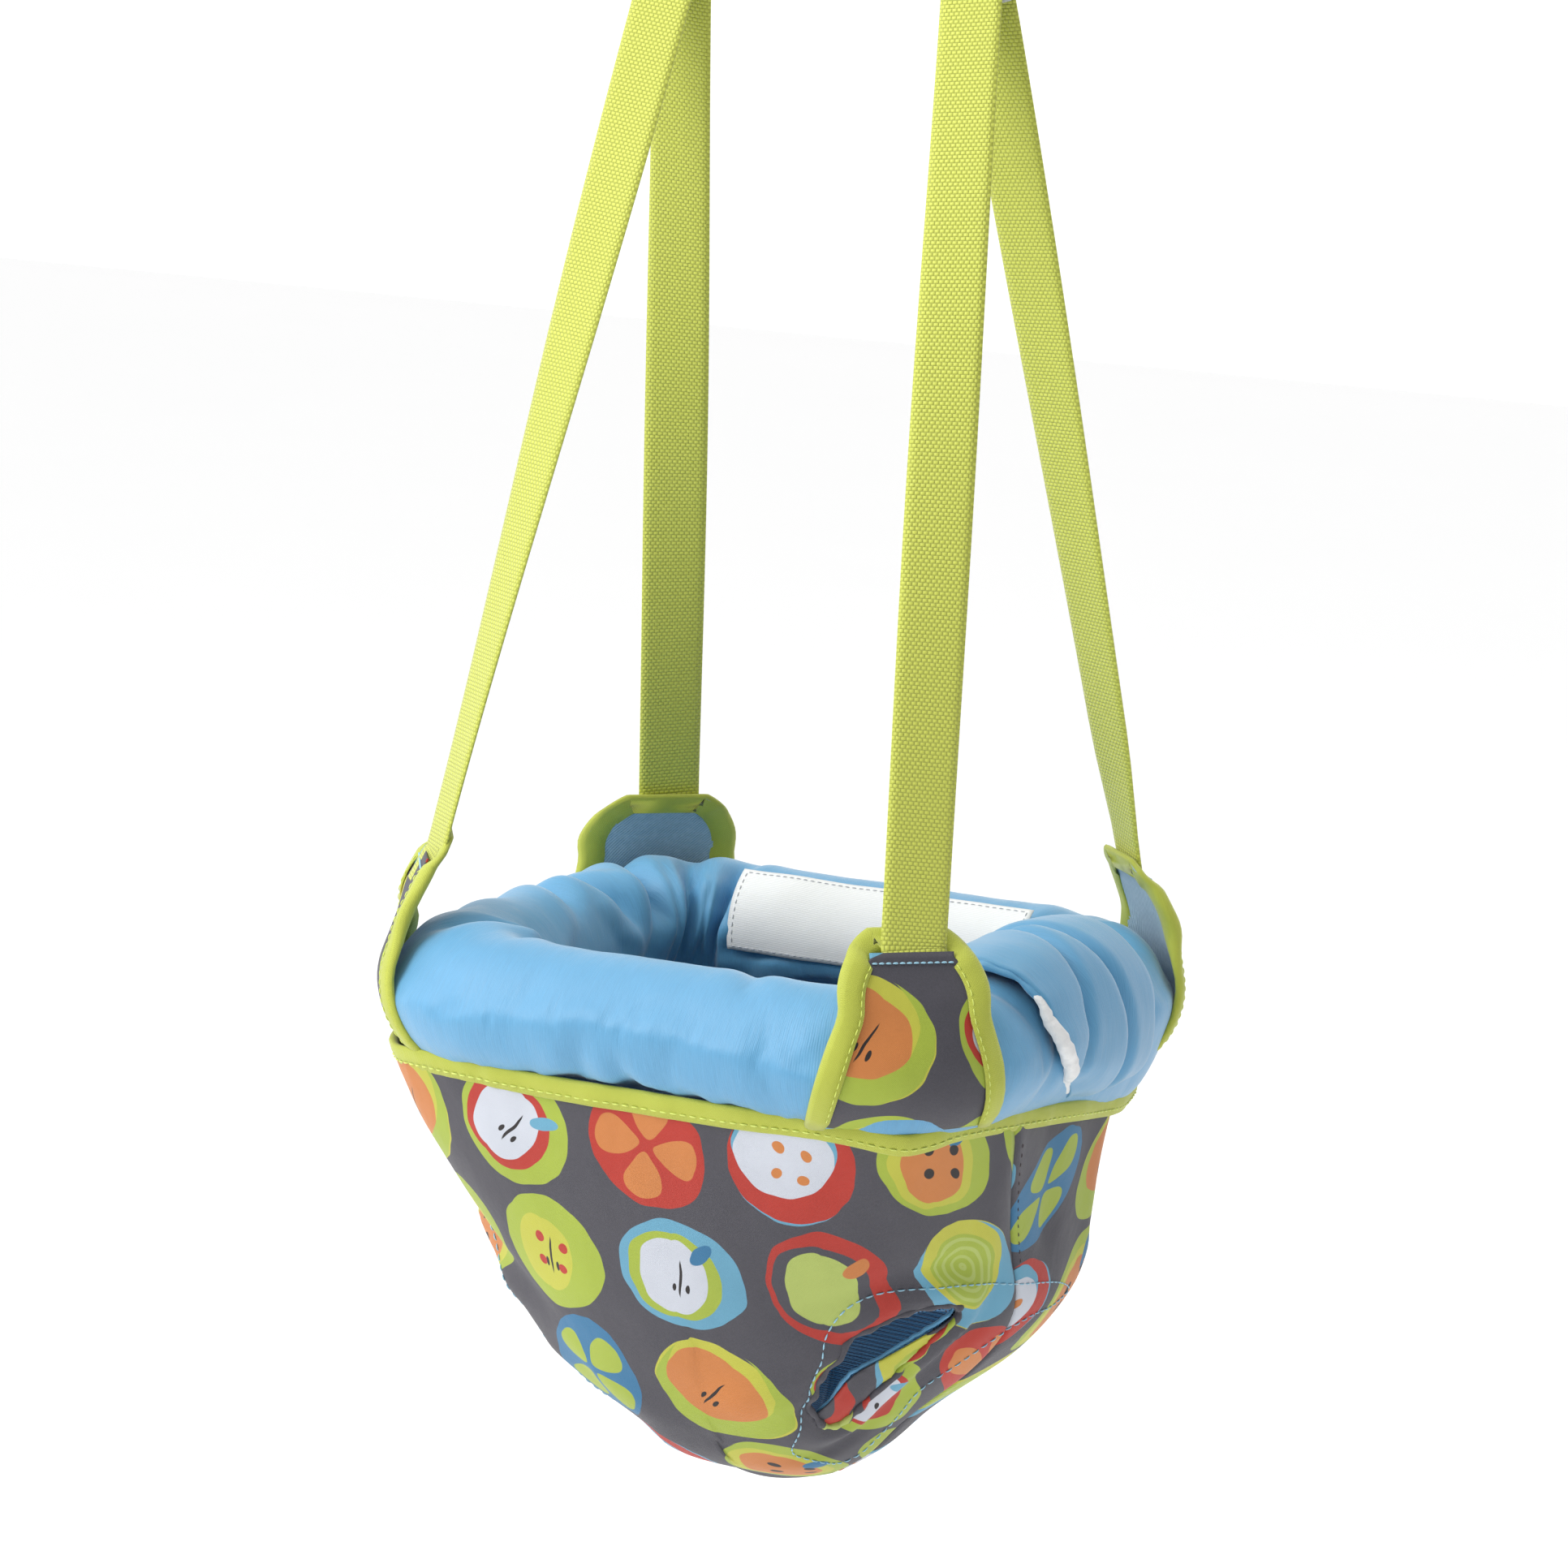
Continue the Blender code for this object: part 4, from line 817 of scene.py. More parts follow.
# Creases drawn into the satin: place along the roll (mm from the right side's middle, towards the
# back), middle angle and half span on the roll, depth in mm, half width in mm, slant in mm a radian
CREASES = (
    (66, 95, 80, 5.6, 4.4, 6), (104, 125, 70, 3.6, 4.0, -5), (238, 165, 70, 3.0, 3.8, 5),
    (261, 150, 85, 8.0, 3.2, 3), (291, 140, 90, 7.6, 3.8, 9), (322, 120, 90, 7.8, 4.0, 12),
    (350, 120, 75, 6.4, 4.0, -10), (377, 95, 60, 4.6, 3.6, 8),
    (400, 60, 50, 1.6, 5.0, 8), (430, 40, 60, 1.6, 5.0, -6), (468, 130, 85, 7.0, 4.4, 5),
    (492, 150, 70, 3.4, 3.6, -6), (520, 20, 60, 0.9, 5.0, 6), (546, -30, 44, 1.6, 3.8, 5),
    (566, -38, 40, 1.6, 3.4, -7), (588, -8, 60, 0.8, 4.6, 6), (606, 90, 50, 1.8, 3.6, -8),
    (628, 0, 60, 0.9, 4.4, -6), (652, -30, 50, 1.4, 4.0, 7), (690, 140, 70, 3.2, 3.8, 6),
    (703, 60, 60, 2.4, 4.0, -8), (722, 20, 70, 2.6, 3.6, 9),
)


def ring_points(sections, angles, radius):
    """The roll's grid: sections along it, and points round it at the given angles."""
    rows = []
    for i in range(sections):
        centre, out = ring_frame(RING_LENGTH * i / sections)
        rows.append([centre + out * radius * math.cos(a) + Vector((0, 0, radius * math.sin(a)))
                     for a in angles])
    return np.array(rows)


def puff(piece, pins, growth, frames, cap):
    """Lets the cover swell under pressure and buckle where it has cloth to spare, and returns its points
    so moved, each by at most cap.
    """
    rest = np.array([v.co[:] for v in piece.data.vertices])
    group = piece.vertex_groups.new(name="sewn")
    for index, weight in pins:
        group.add([index], weight, "REPLACE")
    cloth = piece.modifiers.new("cloth", "CLOTH")
    settings = cloth.settings
    settings.quality = 5
    settings.mass = 0.15
    settings.tension_stiffness = 12
    settings.compression_stiffness = 12
    settings.shear_stiffness = 4
    settings.bending_stiffness = 0.12
    settings.tension_damping = 8
    settings.use_pressure = True
    settings.uniform_pressure_force = 4.0
    settings.shrink_min = -growth
    settings.vertex_group_mass = group.name
    settings.effector_weights.gravity = 0.0
    cloth.collision_settings.use_collision = False
    cloth.point_cache.frame_start = 1
    cloth.point_cache.frame_end = frames
    for step in range(1, frames + 1):
        SCENE.frame_set(step)
    ready = piece.evaluated_get(bpy.context.evaluated_depsgraph_get())
    moved = np.array([v.co[:] for v in ready.data.vertices])
    piece.modifiers.remove(cloth)
    SCENE.frame_set(1)
    shift = moved - rest
    far = np.linalg.norm(shift, axis=1, keepdims=True)
    shift *= np.minimum(1.0, cap / np.maximum(far, 1e-9))
    return rest + shift


def crease_depth(s, angle):
    """How far the satin is drawn in at a place, in metres: a groove between two low ridges."""
    total = 0.0
    around = RING_LENGTH / MM
    for place, middle, span, depth, width, slant in CREASES:
        turn = (angle - math.radians(middle) + math.pi) % (2 * math.pi) - math.pi
        reach = abs(turn) / math.radians(span)
        if reach >= 1.0:
            continue
        along = (s / MM - place - slant * turn + around / 2) % around - around / 2
        far = abs(along / width)
        if far < 7:
            fade = math.cos(math.pi / 2 * reach) ** 1.5
            groove = math.exp(-far ** 1.5)
            ridges = 0.45 * math.exp(-((far - 2.9) / 1.6) ** 2)
            total += depth * fade * (groove - ridges)
    return total * MM


def padded_ring(material):
    """The roll: swollen satin over foam, sewn down along its underside and drawn into creases."""
    sections, around = 300, 48
    angles = np.linspace(-math.pi / 2, 1.5 * math.pi, around, endpoint=False)
    points = ring_points(sections, angles, ROLL_R - 1.6 * MM)
    length_v = RING_LENGTH / sections
    girth = 2 * math.pi * ROLL_R / around
    uvs = [[(i * length_v, k * girth) for k in range(around + 1)] for i in range(sections + 1)]
    piece = grid_object("ring_padding", points, uvs, material, True, True)
    sewn = [(i * around + k, 1.0) for i in range(sections) for k in (0, 1, around - 1)]
    flat = puff(piece, sewn, growth=0.055, frames=22, cap=4.5 * MM)
    for i in range(sections):
        s = RING_LENGTH * i / sections
        centre, out = ring_frame(s)
        rim_sag = rim_height((2 + 8 * s / RING_LENGTH + 4) % 8 - 4) * 0.9
        for k, angle in enumerate(angles):
            at = flat[i * around + k]
            outward = out * math.cos(angle) + Vector((0, 0, math.sin(angle)))
            soft = 0.9 * wave(at, 0.034, 2.0) + 0.35 * wave(at, 0.012, 5.0)
            radial = (Vector(at) - centre).length
            swell = min(radial, ROLL_R + 1.0 * MM) - radial
            move = swell - crease_depth(s, angle) + soft * MM
            from_rim = min(max((angle + math.radians(62)) / math.radians(50), -1), 1)
            sag = rim_sag * math.cos(from_rim * math.pi / 2) ** 2
            flat[i * around + k] = at + np.array(outward) * move + np.array((0, 0, -sag))
    piece.data.vertices.foreach_set("co", flat.astype(np.float32).ravel())
    piece.vertex_groups.clear()
    piece.data.update()
    smooth = piece.modifiers.new("smooth", "SUBSURF")
    smooth.levels = smooth.render_levels = 1
    dress(piece, "satin", "ring_core", "ring_cover")


# ---------------------------------------------------------------- tabs

def corner_point(hand, turn, outwards, height):
    """A point round a ring corner: turned from its diagonal, outwards from the roll's centre."""
    out = Vector((*hand, 0)).normalized()
    across = Vector((-out.y, out.x, 0))
    centre = RING + Vector((hand[0] * RING_FLAT[0], hand[1] * RING_FLAT[1], 0))
    away = (out * math.cos(turn) + across * math.sin(turn)) * (RING_CORNER_R + outwards)
    return centre + away + Vector((0, 0, height))


def tab_profile(t, layer, lift):
    """Across the roll from the rim (t 0) to the tab's top (t 1): outwards and up."""
    wrap_r = TAB_R + layer
    start, reach = TAB_WRAP
    arc = wrap_r * (reach - start)
    leave = Vector((wrap_r * math.cos(reach), wrap_r * math.sin(reach)))
    rise = Vector((STRAP_FOOT[0] - TAB_R * math.cos(reach), STRAP_FOOT[1] - TAB_R * math.sin(reach)))
    rise.normalize()
    straight = (TAB_TOP + lift - leave.y) / rise.y
    along = t * (arc + straight)
    if along <= arc:
        angle = start + along / wrap_r
        return wrap_r * math.cos(angle), wrap_r * math.sin(angle)
    place = leave + rise * (along - arc)
    return place.x, place.y


def tab_length(lift=0.0):
    """A tab's length over the roll, from the rim to its top."""
    start, reach = TAB_WRAP
    return TAB_R * (reach - start) + (TAB_TOP + lift - TAB_R * math.sin(reach)) / TAB_RISE


def tab_half_width(t):
    """Half width at height t: straight sides that lean in to a rounded top."""
    lean = TAB_HALF_FOOT + (TAB_HALF_TOP - TAB_HALF_FOOT) * min(t / TAB_CROWN, 1.0) ** 0.85
    if t <= TAB_CROWN:
        return lean
    return lean * max(0.0, 1 - ((t - TAB_CROWN) / (1.03 - TAB_CROWN)) ** 2.2) ** 0.5


def tab_point(hand, t, offset, layer):
    """A point on a tab: it wraps the ring's corner low down and is flat where the strap is sewn."""
    outwards, height = tab_profile(t, layer, TAB_LIFT[hand])
    offset = offset * TAB_WIDTH[hand] + TAB_SKEW[hand]
    base = TAB_TURN[hand]
    wrapped = corner_point(hand, base + offset / (RING_CORNER_R + TAB_R), outwards, height)
    out = Vector((*hand, 0)).normalized()
    across = Vector((-out.y, out.x, 0)) * math.cos(base) - out * math.sin(base)
    flat = corner_point(hand, base, outwards, height) + across * offset
    return wrapped.lerp(flat, float(smoothstep((t - 0.45) / 0.3)))


def tab_normal(hand, t, offset, layer):
    """The outward direction of a tab's face."""
    above = tab_point(hand, min(t + 0.02, 1.0), offset, layer)
    below = tab_point(hand, max(t - 0.02, 0.0), offset, layer)
    ahead = tab_point(hand, t, offset + MM, layer)
    behind = tab_point(hand, t, offset - MM, layer)
    return (ahead - behind).cross(above - below).normalized()


def tab_sheet(name, hand, layer, top, material, neck=None, origin=(0, 0)):
    """One layer of a tab as a dense grid; layer gives its distance off the roll at a height t."""
    rows, uvs = [], []
    steps, across = 34, 29
    reach = tab_length(TAB_LIFT[hand])
    for i in range(steps):
        t = top * i / (steps - 1)
        half = tab_half_width(t) * 0.97
        if neck:
            half += (neck - half) * float(smoothstep((t - 0.81) / 0.05))
        row, uv = [], []
        for k in range(across):
            offset = half * (2 * k / (across - 1) - 1)
            ripple = 0.5 * MM * wave((offset + 7 * hand[0], t * reach + hand[1], 0), 0.016, 1.0)
            row.append(tab_point(hand, t, offset, layer(t) + ripple))
            uv.append((origin[0] + offset, origin[1] + t * reach))
        rows.append(row)
        uvs.append(uv)
    piece = grid_object(name, np.array(rows), uvs, material)
    thicken(piece, 0.8 * MM, 0.0)
    return piece


def tab_edge(width_in, steps=56):
    """(t, offset) along a tab's edge, or inside it by a width: up one side, over and down the other."""
    length = tab_length()
    edge = []
    for i in range(steps + 1):
        t = 0.985 * math.sin(math.pi * (i / steps)) ** 0.8
        side = -1.0 if i <= steps / 2 else 1.0
        edge.append(Vector((side * tab_half_width(t), t * length)))
    edge[steps // 2].x = 0.0
    inner = []
    for i, point in enumerate(edge):
        along = (edge[min(i + 1, steps)] - edge[max(i - 1, 0)]).normalized()
        inner.append(point + Vector((along.y, -along.x)) * width_in)
    return [(p.y / length, p.x) for p in inner]


def tape_faces(t, offset):
    """The tape's outer and inner layers in mm: it hugs the lining at the top, behind the strap."""
    rise = float(smoothstep((t - 0.45) / 0.25))
    drop = float(smoothstep((t - 0.76 - 0.1 * smoothstep((abs(offset) / MM - 13) / 6)) / 0.07))
    return (2.6 + 1.8 * rise) * (1 - drop) + 0.9 * drop, 0.6 - 1.2 * drop


# The folded tape's section: mm in from the tab's edge, 0 on its inner to 1 on its outer face, and bulge
TAPE_SECTION = (
    (8.4, 1.0, 0.2), (8.2, 1.0, 1.0), (4.5, 1.0, 1.25), (0.8, 1.0, 1.1), (-0.9, 0.8, 0.8),
    (-1.7, 0.5, 0.0), (-0.9, 0.2, -0.8), (0.8, 0.0, -0.9), (4.5, 0.0, -1.0), (8.2, 0.0, -0.75),
    (8.4, 0.0, 0.0), (3.4, 0.0, 0.0), (-0.2, 0.5, 0.0), (3.4, 1.0, 0.2),
)


def tab_binding(name, hand, finishes):
    """Tape folded over a tab's edge: a flat face outside and inside, joined by a rounded fold."""
    lines = [tab_edge(width * MM) for width, _, _ in TAPE_SECTION]
    rows, uvs, run = [], [], 0.0
    for places in zip(*lines):
        row, across = [], []
        for (t, offset), (width, face, bulge) in zip(places, TAPE_SECTION):
            t = min(max(t, 0.0), 1.0)
            outer, inner = tape_faces(t, offset)
            layer = (inner + (outer - inner) * face + bulge * 0.75) * MM
            layer += 0.35 * MM * wave((offset, t * 0.1, hand[0] + 2 * hand[1]), 0.009, 4.0)
            row.append(tab_point(hand, t, offset, layer))
            across.append(width * MM + 12 * MM * (1 - face))
        if rows:
            run += (row[2] - rows[-1][2]).length
        rows.append(row)
        uvs.append([(u, run) for u in across + across[:1]])
    piece = grid_object(name, np.array(rows), uvs, finishes["binding"], True)
    cap_ends(piece)
    path, outward = [], []
    for t, offset in tab_edge(6.9 * MM):
        under_strap = t > 0.7 and abs(offset) < 15 * MM
        if t < 0.03 or under_strap:
            continue
        t = min(t, 1.0)
        outer = tape_faces(t, offset)[0]
        path.append(tab_point(hand, t, offset, (outer + 0.95) * MM))
        outward.append(tab_normal(hand, t, offset, outer * MM))
    stitches = stitch_row(name + "_stitch", path, outward, finishes["lime_thread"], 2.6, 1.0, 0.24)
    dress(stitches, "binding")
    return piece


def lining_layer(t):
    """How far off the roll a tab's lining lies at a height t: the tape's inner face beside the strap."""
    return tape_faces(t, 20 * MM)[1] * MM


def panel_layer(t):
    """How far off the roll a tab's printed panel lies at a height t."""
    return (1.7 + 2.2 * float(smoothstep((t - 0.45) / 0.25))) * MM


def tack_line(name, hand, material):
    """The sewn line that holds the strap's end under the panel's top."""
    path, outward = [], []
    for i in range(25):
        offset = (2 * i / 24 - 1) * 0.64 * tab_half_width(0.83)
        path.append(tab_point(hand, TACK_LINE, offset, 4.5 * MM))
        outward.append(tab_normal(hand, TACK_LINE, offset, 4.4 * MM))
    return stitch_row(name, path, outward, material, 2.2, 0.35, 0.42)


def make_tab(label, hand, finishes):
    """One corner's tab: twill lining, printed panel, folded tape and the line that holds the strap."""
    lining = tab_sheet("tab_twill_" + label, hand, lining_layer, 0.975, finishes["twill"])
    panel = tab_sheet("tab_print_" + label, hand, panel_layer, PRINT_TOP, finishes["tab_print"],
                      16.5 * MM, (31 * MM, 0.0))
    binding = tab_binding("tab_tape_" + label, hand, finishes)
    tack = tack_line("tab_tack_" + label, hand, finishes["sky_thread"])
    dress(lining, "twill", "tab_lining_" + label)
    dress(panel, "printed_fabric", "tab_panel_" + label)
    dress(binding, "binding", "tab_binding_" + label)
    dress(tack, "webbing")
    width, length = 2 * TAB_HALF_FOOT * TAB_WIDTH[hand], tab_length(TAB_LIFT[hand])
    width * length * 0.84
    length *= PRINT_TOP
    width * length * 0.86


def make_tabs(finishes):
    """The four tabs, front ones first."""
    for end, side_y in (("front", -1), ("back", 1)):
        for side, side_x in (("left", -1), ("right", 1)):
            make_tab(end + "_" + side, (side_x, side_y), finishes)


# ---------------------------------------------------------------- webbing

def webbing_ribbon(name, centres, sides, width, thickness, material, subdivide=4):
    """Flat webbing along points, its width along the given directions, with rounded selvedges."""
    path, across = [], []
    last = len(centres) - 1
    for i in range(last):
        near = [centres[min(max(k, 0), last)] for k in (i - 1, i, i + 1, i + 2)]
        for k in range(subdivide):
            path.append(catmull_rom(*near, k / subdivide))
            across.append(sides[i].lerp(sides[i + 1], k / subdivide))
    path.append(centres[-1])
    across.append(sides[-1])
    face_line = [2 * k / 8 - 1 for k in range(9)]
    profile = [(x, 0.5) for x in face_line] + [(1.018, 0.0)]
    profile += [(x, -0.5) for x in face_line[::-1]] + [(-1.018, 0.0)]
    rows, uvs, run = [], [], 0.0
    for i, (point, side) in enumerate(zip(path, across)):
        if i:
            run += (point - path[i - 1]).length
        along = (path[min(i + 1, len(path) - 1)] - path[max(i - 1, 0)]).normalized()
        side = (side - along * side.dot(along)).normalized()
        face = along.cross(side)
        row, uv = [], []
        for x, h in profile:
            dish = 1.0 - 0.25 * max(0.0, abs(x) - 0.86) / 0.14
            row.append(point + side * x * width / 2 + face * h * thickness * dish)
            uv.append((x * width / 2, run))
        rows.append(row)
        uvs.append(uv + [uv[0]])
    piece = grid_object(name, np.array(rows), uvs, material, True)
    cap_ends(piece)
    return piece


def strap_run(hand, head):
    """Points and width directions of one half of a strap, from its tab up to the bar."""
    side_x, side_y = hand
    points, sides = [], []
    yaw = math.radians(STRAP_YAW[hand]) * side_x * -side_y
    foot_yaw = math.radians(45) * side_x * -side_y
    for t in (0.74, 0.78, 0.83, 0.88, 0.93):
        points.append(tab_point(hand, t, -0.6 * TAB_SKEW[hand], 2.3 * MM))
        sides.append(Vector((math.cos(foot_yaw), math.sin(foot_yaw), 0)))
    foot = points[-1]
    for i in range(1, 25):
        t = i / 24
        start = foot_yaw + (yaw - foot_yaw) * float(smoothstep(t * 6))
        turn = start * (1 - float(smoothstep(t)))
        bow = math.sin(math.pi * t) * 1.2 * MM
        points.append(foot.lerp(head, t) + Vector((0, side_y * bow, 0)))
        sides.append(Vector((math.cos(turn), math.sin(turn), 0)))
    return points, sides


def side_strap(side_x, name, material):
    """One webbing strap: front tab, up over the bar's end, and down to the back tab."""
    crest_z = BAR.z - 3.5 * MM + WEB_T / 2 + 0.3 * MM
    hold_y = 3.0 * MM + WEB_T / 2 + 0.8 * MM
    halves = []
    for side_y in (-1, 1):
        head = Vector((side_x * STRAP_X, side_y * (hold_y + 0.6 * MM), crest_z - 9 * MM))
        halves.append(strap_run((side_x, side_y), head))
    (centres, across), (back_centres, back_across) = halves
    for i in range(7):
        angle = math.pi - math.pi * i / 6
        centres.append(Vector((side_x * STRAP_X, hold_y * math.cos(angle),
                               crest_z - 2 * MM + 3.2 * MM * math.sin(angle))))
        across.append(Vector((1, 0, 0)))
    centres += back_centres[::-1]
    across += back_across[::-1]
    piece = webbing_ribbon(name + "_webbing", centres, across, WEB_W, WEB_T, material, 6)
    dress(piece, "webbing", name)


def height_straps(finishes):
    """Two webbing loops that slide in the buckle: one hangs from the steel ring, one holds the bar."""
    ring_low_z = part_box("lower_ring")[0].z + 2.5 * MM
    buckle_low, buckle_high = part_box("adjuster_buckle")
    buckle_z = (buckle_low.z + buckle_high.z) / 2
    hold = 2.5 * MM + WEB_T / 2 + 1.9 * MM
    for name, body, top_z, leg_y, end_z, over in (
            ("height_strap_upper", "bounce_carrier", ring_low_z, hold, buckle_z - 8 * MM, 1),
            ("height_strap_lower", "seat", BAR.z + 7.1 * MM, 4.1 * MM, ring_low_z - 14 * MM, -1)):
        centres = []
        for t in np.linspace(1.0, 0.06, 10):
            pinch = 1.4 * MM if over < 0 else leg_y
            y = leg_y + (pinch - leg_y) * float(smoothstep(t * 2.2))
            centres.append(Vector((0, -y, top_z + (end_z - top_z) * t)))
        for i in range(9):
            angle = math.pi - math.pi * i / 8
            rise = leg_y * math.sin(angle) * (1.0 if over > 0 else 0.72)
            centres.append(Vector((0, leg_y * math.cos(angle), top_z + over * rise)))
        centres += [Vector((p.x, -p.y, p.z)) for p in centres[9::-1]]
        across = [Vector((1, 0, 0))] * len(centres)
        piece = webbing_ribbon(name + "_webbing", centres, across, WEB_W, WEB_T, finishes["webbing"], 4)
        dress(piece, "webbing", name, body=body)


# ---------------------------------------------------------------- bucket

def bucket_measures(depth):
    """The section's measures at a depth, smoothly through the levels."""
    depths = BUCKET_LEVELS[:, 0]
    depth = min(max(depth, depths[0]), depths[-1])
    i = min(int(np.searchsorted(depths, depth, "right")) - 1, len(depths) - 2)
    step = depths[i + 1] - depths[i]
    t = (depth - depths[i]) / step
    slopes = np.gradient(BUCKET_LEVELS, depths, axis=0) * step
    start, start_slope, end, end_slope = cubic_weights(t)
    here, after = BUCKET_LEVELS[i:i + 2]
    return here * start + slopes[i] * start_slope + after * end + slopes[i + 1] * end_slope


def bucket_line(depth, ways, inset=0.0):
    """Points (x, y) on the section at the given ways round: 0 front, 2 right, 4 back, -2 left."""
    _, front, front_half, side, side_front, side_back, back_half, back = bucket_measures(depth)
    front, side, back = front - inset, side - inset, back - inset
    corners = np.array((
        (side, side_front), (side, side_back), (back_half, back), (-back_half, back),
        (-side, side_back), (-side, side_front), (-front_half, -front), (front_half, -front)))
    corners[:, 0] += CROTCH_SHIFT * float(smoothstep((depth - 0.14) / 0.055))
    corners[:, 0] -= RIM_SHIFT * float(smoothstep((0.11 - depth) / 0.06))
    place = (np.asarray(ways) + 7) % 8
    index = np.minimum(place.astype(int), 7)
    t = (place - index)[:, None]
    here, before, after = corners[index], corners[index - 1], corners[(index + 1) % 8]
    start, end = (before + here) / 2, (here + after) / 2
    return start * (1 - t) ** 2 + here * 2 * t * (1 - t) + end * t ** 2


def bucket_girth(depth, inset=0.0):
    """The length all round the section at a depth."""
    whole = bucket_line(depth, np.linspace(-4, 4, 161), inset)
    return np.linalg.norm(np.diff(whole, axis=0), axis=1).sum()


ALL_ROUND = (-4.0, 4.0)
WHOLE_GRID = (240, 84)               # columns and rows of a fine sheet that goes all round

# Soft folds in the bucket: ends as (way round, depth in mm), height and half width in mm
FOLDS = (
    ((1.0, 60), (1.25, 118), 1.6, 9), ((1.7, 40), (1.5, 96), 2.2, 10),
    ((-1.9, 50), (-1.2, 110), 2.4, 12), ((0.4, 150), (-0.3, 182), 2.0, 9),
    ((2.4, 45), (2.6, 100), 2.4, 11), ((-2.5, 45), (-2.7, 100), 2.4, 11),
    ((-0.9, 120), (-0.2, 165), 1.8, 10), ((0.9, 118), (0.35, 150), 2.0, 8),
    ((3.4, 60), (3.1, 130), 2.0, 12), ((-3.5, 70), (-3.0, 140), 2.2, 12),
    ((1.95, 32), (2.0, 84), -2.0, 9), ((-1.55, 30), (-1.6, 80), -1.8, 9),
    ((0.75, 34), (0.62, 70), -0.9, 8), ((-0.5, 32), (-0.42, 64), 0.8, 8),
)


def bucket_move(way, depth, xy, around):
    """How far a point moves outwards for its folds, rim puckers and seam groove, in metres."""
    mm_depth, move = depth / MM, 0.0
    scale = around / 8 / MM
    for (start_way, start_depth), (end_way, end_depth), height, width in FOLDS:
        dx, dy = (end_way - start_way) * scale, end_depth - start_depth
        px, py = (way - start_way) * scale, mm_depth - start_depth
        t = min(max((px * dx + py * dy) / (dx * dx + dy * dy), 0.0), 1.0)
        gap = math.hypot(px - dx * t, py - dy * t)
        move += height * math.exp(-(gap / width) ** 2)
    at = (xy[0], xy[1], -depth)
    move += 1.5 * wave(at, 0.06, 1.5) + 0.7 * wave(at, 0.024, 6.0)
    pucker = math.exp(-max(0.0, mm_depth - 36) / 9)
    move += 0.8 * pucker * wave((way * around / 8, 0, 0), 0.011, 9.0)
    for seam in (-SEAM, SEAM):
        gap = abs(way - seam) * around / 8 / MM
        move -= 1.1 * math.exp(-(gap / 1.8) ** 2)
    move *= float(smoothstep((mm_depth - 24) / 12))
    return move * MM


def bucket_grid(low_way, high_way, columns, rows, inset, top):
    """Points and UVs of a panel of the bucket between two ways round."""
    ways = np.linspace(low_way, high_way, columns)
    bottom = BUCKET_LEVELS[-1, 0]
    depths = top + (bottom - top) * np.sin(np.pi / 2 * np.linspace(0, 1, rows))
    points, uvs, run = [], [], 0.0
    middle = (low_way + high_way) / 2
    previous = None
    for depth in depths:
        line = bucket_line(depth, ways, inset)
        around = bucket_girth(depth, inset)
        shown = depth - inset * float(smoothstep((depth - 0.12) / 0.076))
        centre = bucket_line(depth, np.array([middle]), inset)[0]
        here = np.array([centre[0], centre[1], -shown])
        if previous is not None:
            run += np.linalg.norm(here - previous)
        previous = here
        tangent = np.gradient(line, axis=0)
        tangent /= np.linalg.norm(tangent, axis=1)[:, None]
        steps = np.concatenate([[0.0], np.cumsum(np.linalg.norm(np.diff(line, axis=0), axis=1))])
        zero = np.interp(middle, ways, steps)
        row, uv = [], []
        for k, way in enumerate(ways):
            wrapped = (way + 4) % 8 - 4
            out = np.array([tangent[k][1], -tangent[k][0]])
            xy = line[k] + out * bucket_move(wrapped, depth, line[k], around)
            row.append((RING.x + xy[0], RING.y + xy[1], RING.z - shown))
            uv.append((steps[k] - zero, -run))
        points.append(row)
        uvs.append(uv)
    last = np.array(points[-1])
    centre = last.mean(axis=0)
    end_uv = np.array(uvs[-1])
    for share in (0.8, 0.6, 0.4, 0.2, 0.04):
        ring_row = centre + (last - centre) * share
        ring_row[:, 2] = last[:, 2] - 3.2 * MM * (1 - share ** 2)
        points.append(ring_row.tolist())
        shrunk = end_uv.copy()
        shrunk[:, 0] *= share
        shrunk[:, 1] -= (1 - share) * 30 * MM
        uvs.append(shrunk.tolist())
    return np.array(points), np.array(uvs)


def closed_curve(points, per_side=8):
    """A smooth closed curve through points, by Catmull-Rom."""
    curve = []
    count = len(points)
    for i in range(count):
        p0, p1, p2, p3 = (points[(i + k - 1) % count] for k in range(4))
        curve += [catmull_rom(p0, p1, p2, p3, t) for t in np.arange(per_side) / per_side]
    return np.array(curve)


def leg_place(points):
    """(y, z) from the ring's centre for points on the bucket; the left opening sits further back."""
    place = points[:, 1:] - np.array((RING.y, RING.z))
    place[:, 0] -= LEFT_LEG_BACK * (points[:, 0] < RING.x)
    return place


def leg_measure(points, outline):
    """Signed distance from a leg opening's outline seen from the side: positive outside it."""
    points = np.asarray(points)
    place = leg_place(points)
    start, end = outline, np.roll(outline, -1, axis=0)
    edge = end - start
    rel = place[:, None] - start[None]
    t = np.clip((rel * edge).sum(-1) / (edge ** 2).sum(-1), 0, 1)
    far = np.linalg.norm(rel - edge * t[..., None], axis=-1).min(axis=1)
    above = (start[None, :, 1] > place[:, None, 1]) != (end[None, :, 1] > place[:, None, 1])
    rise = np.where(edge[:, 1] == 0, 1e-9, edge[:, 1])
    cross = start[:, 0] + (place[:, None, 1] - start[:, 1]) * edge[:, 0] / rise
    inside = (above & (place[:, None, 0] < cross)).sum(axis=1) % 2 == 1
    far = np.where(inside, -far, far)
    return np.where(np.abs(points[:, 0] - RING.x) < 16 * MM, 0.05, far)


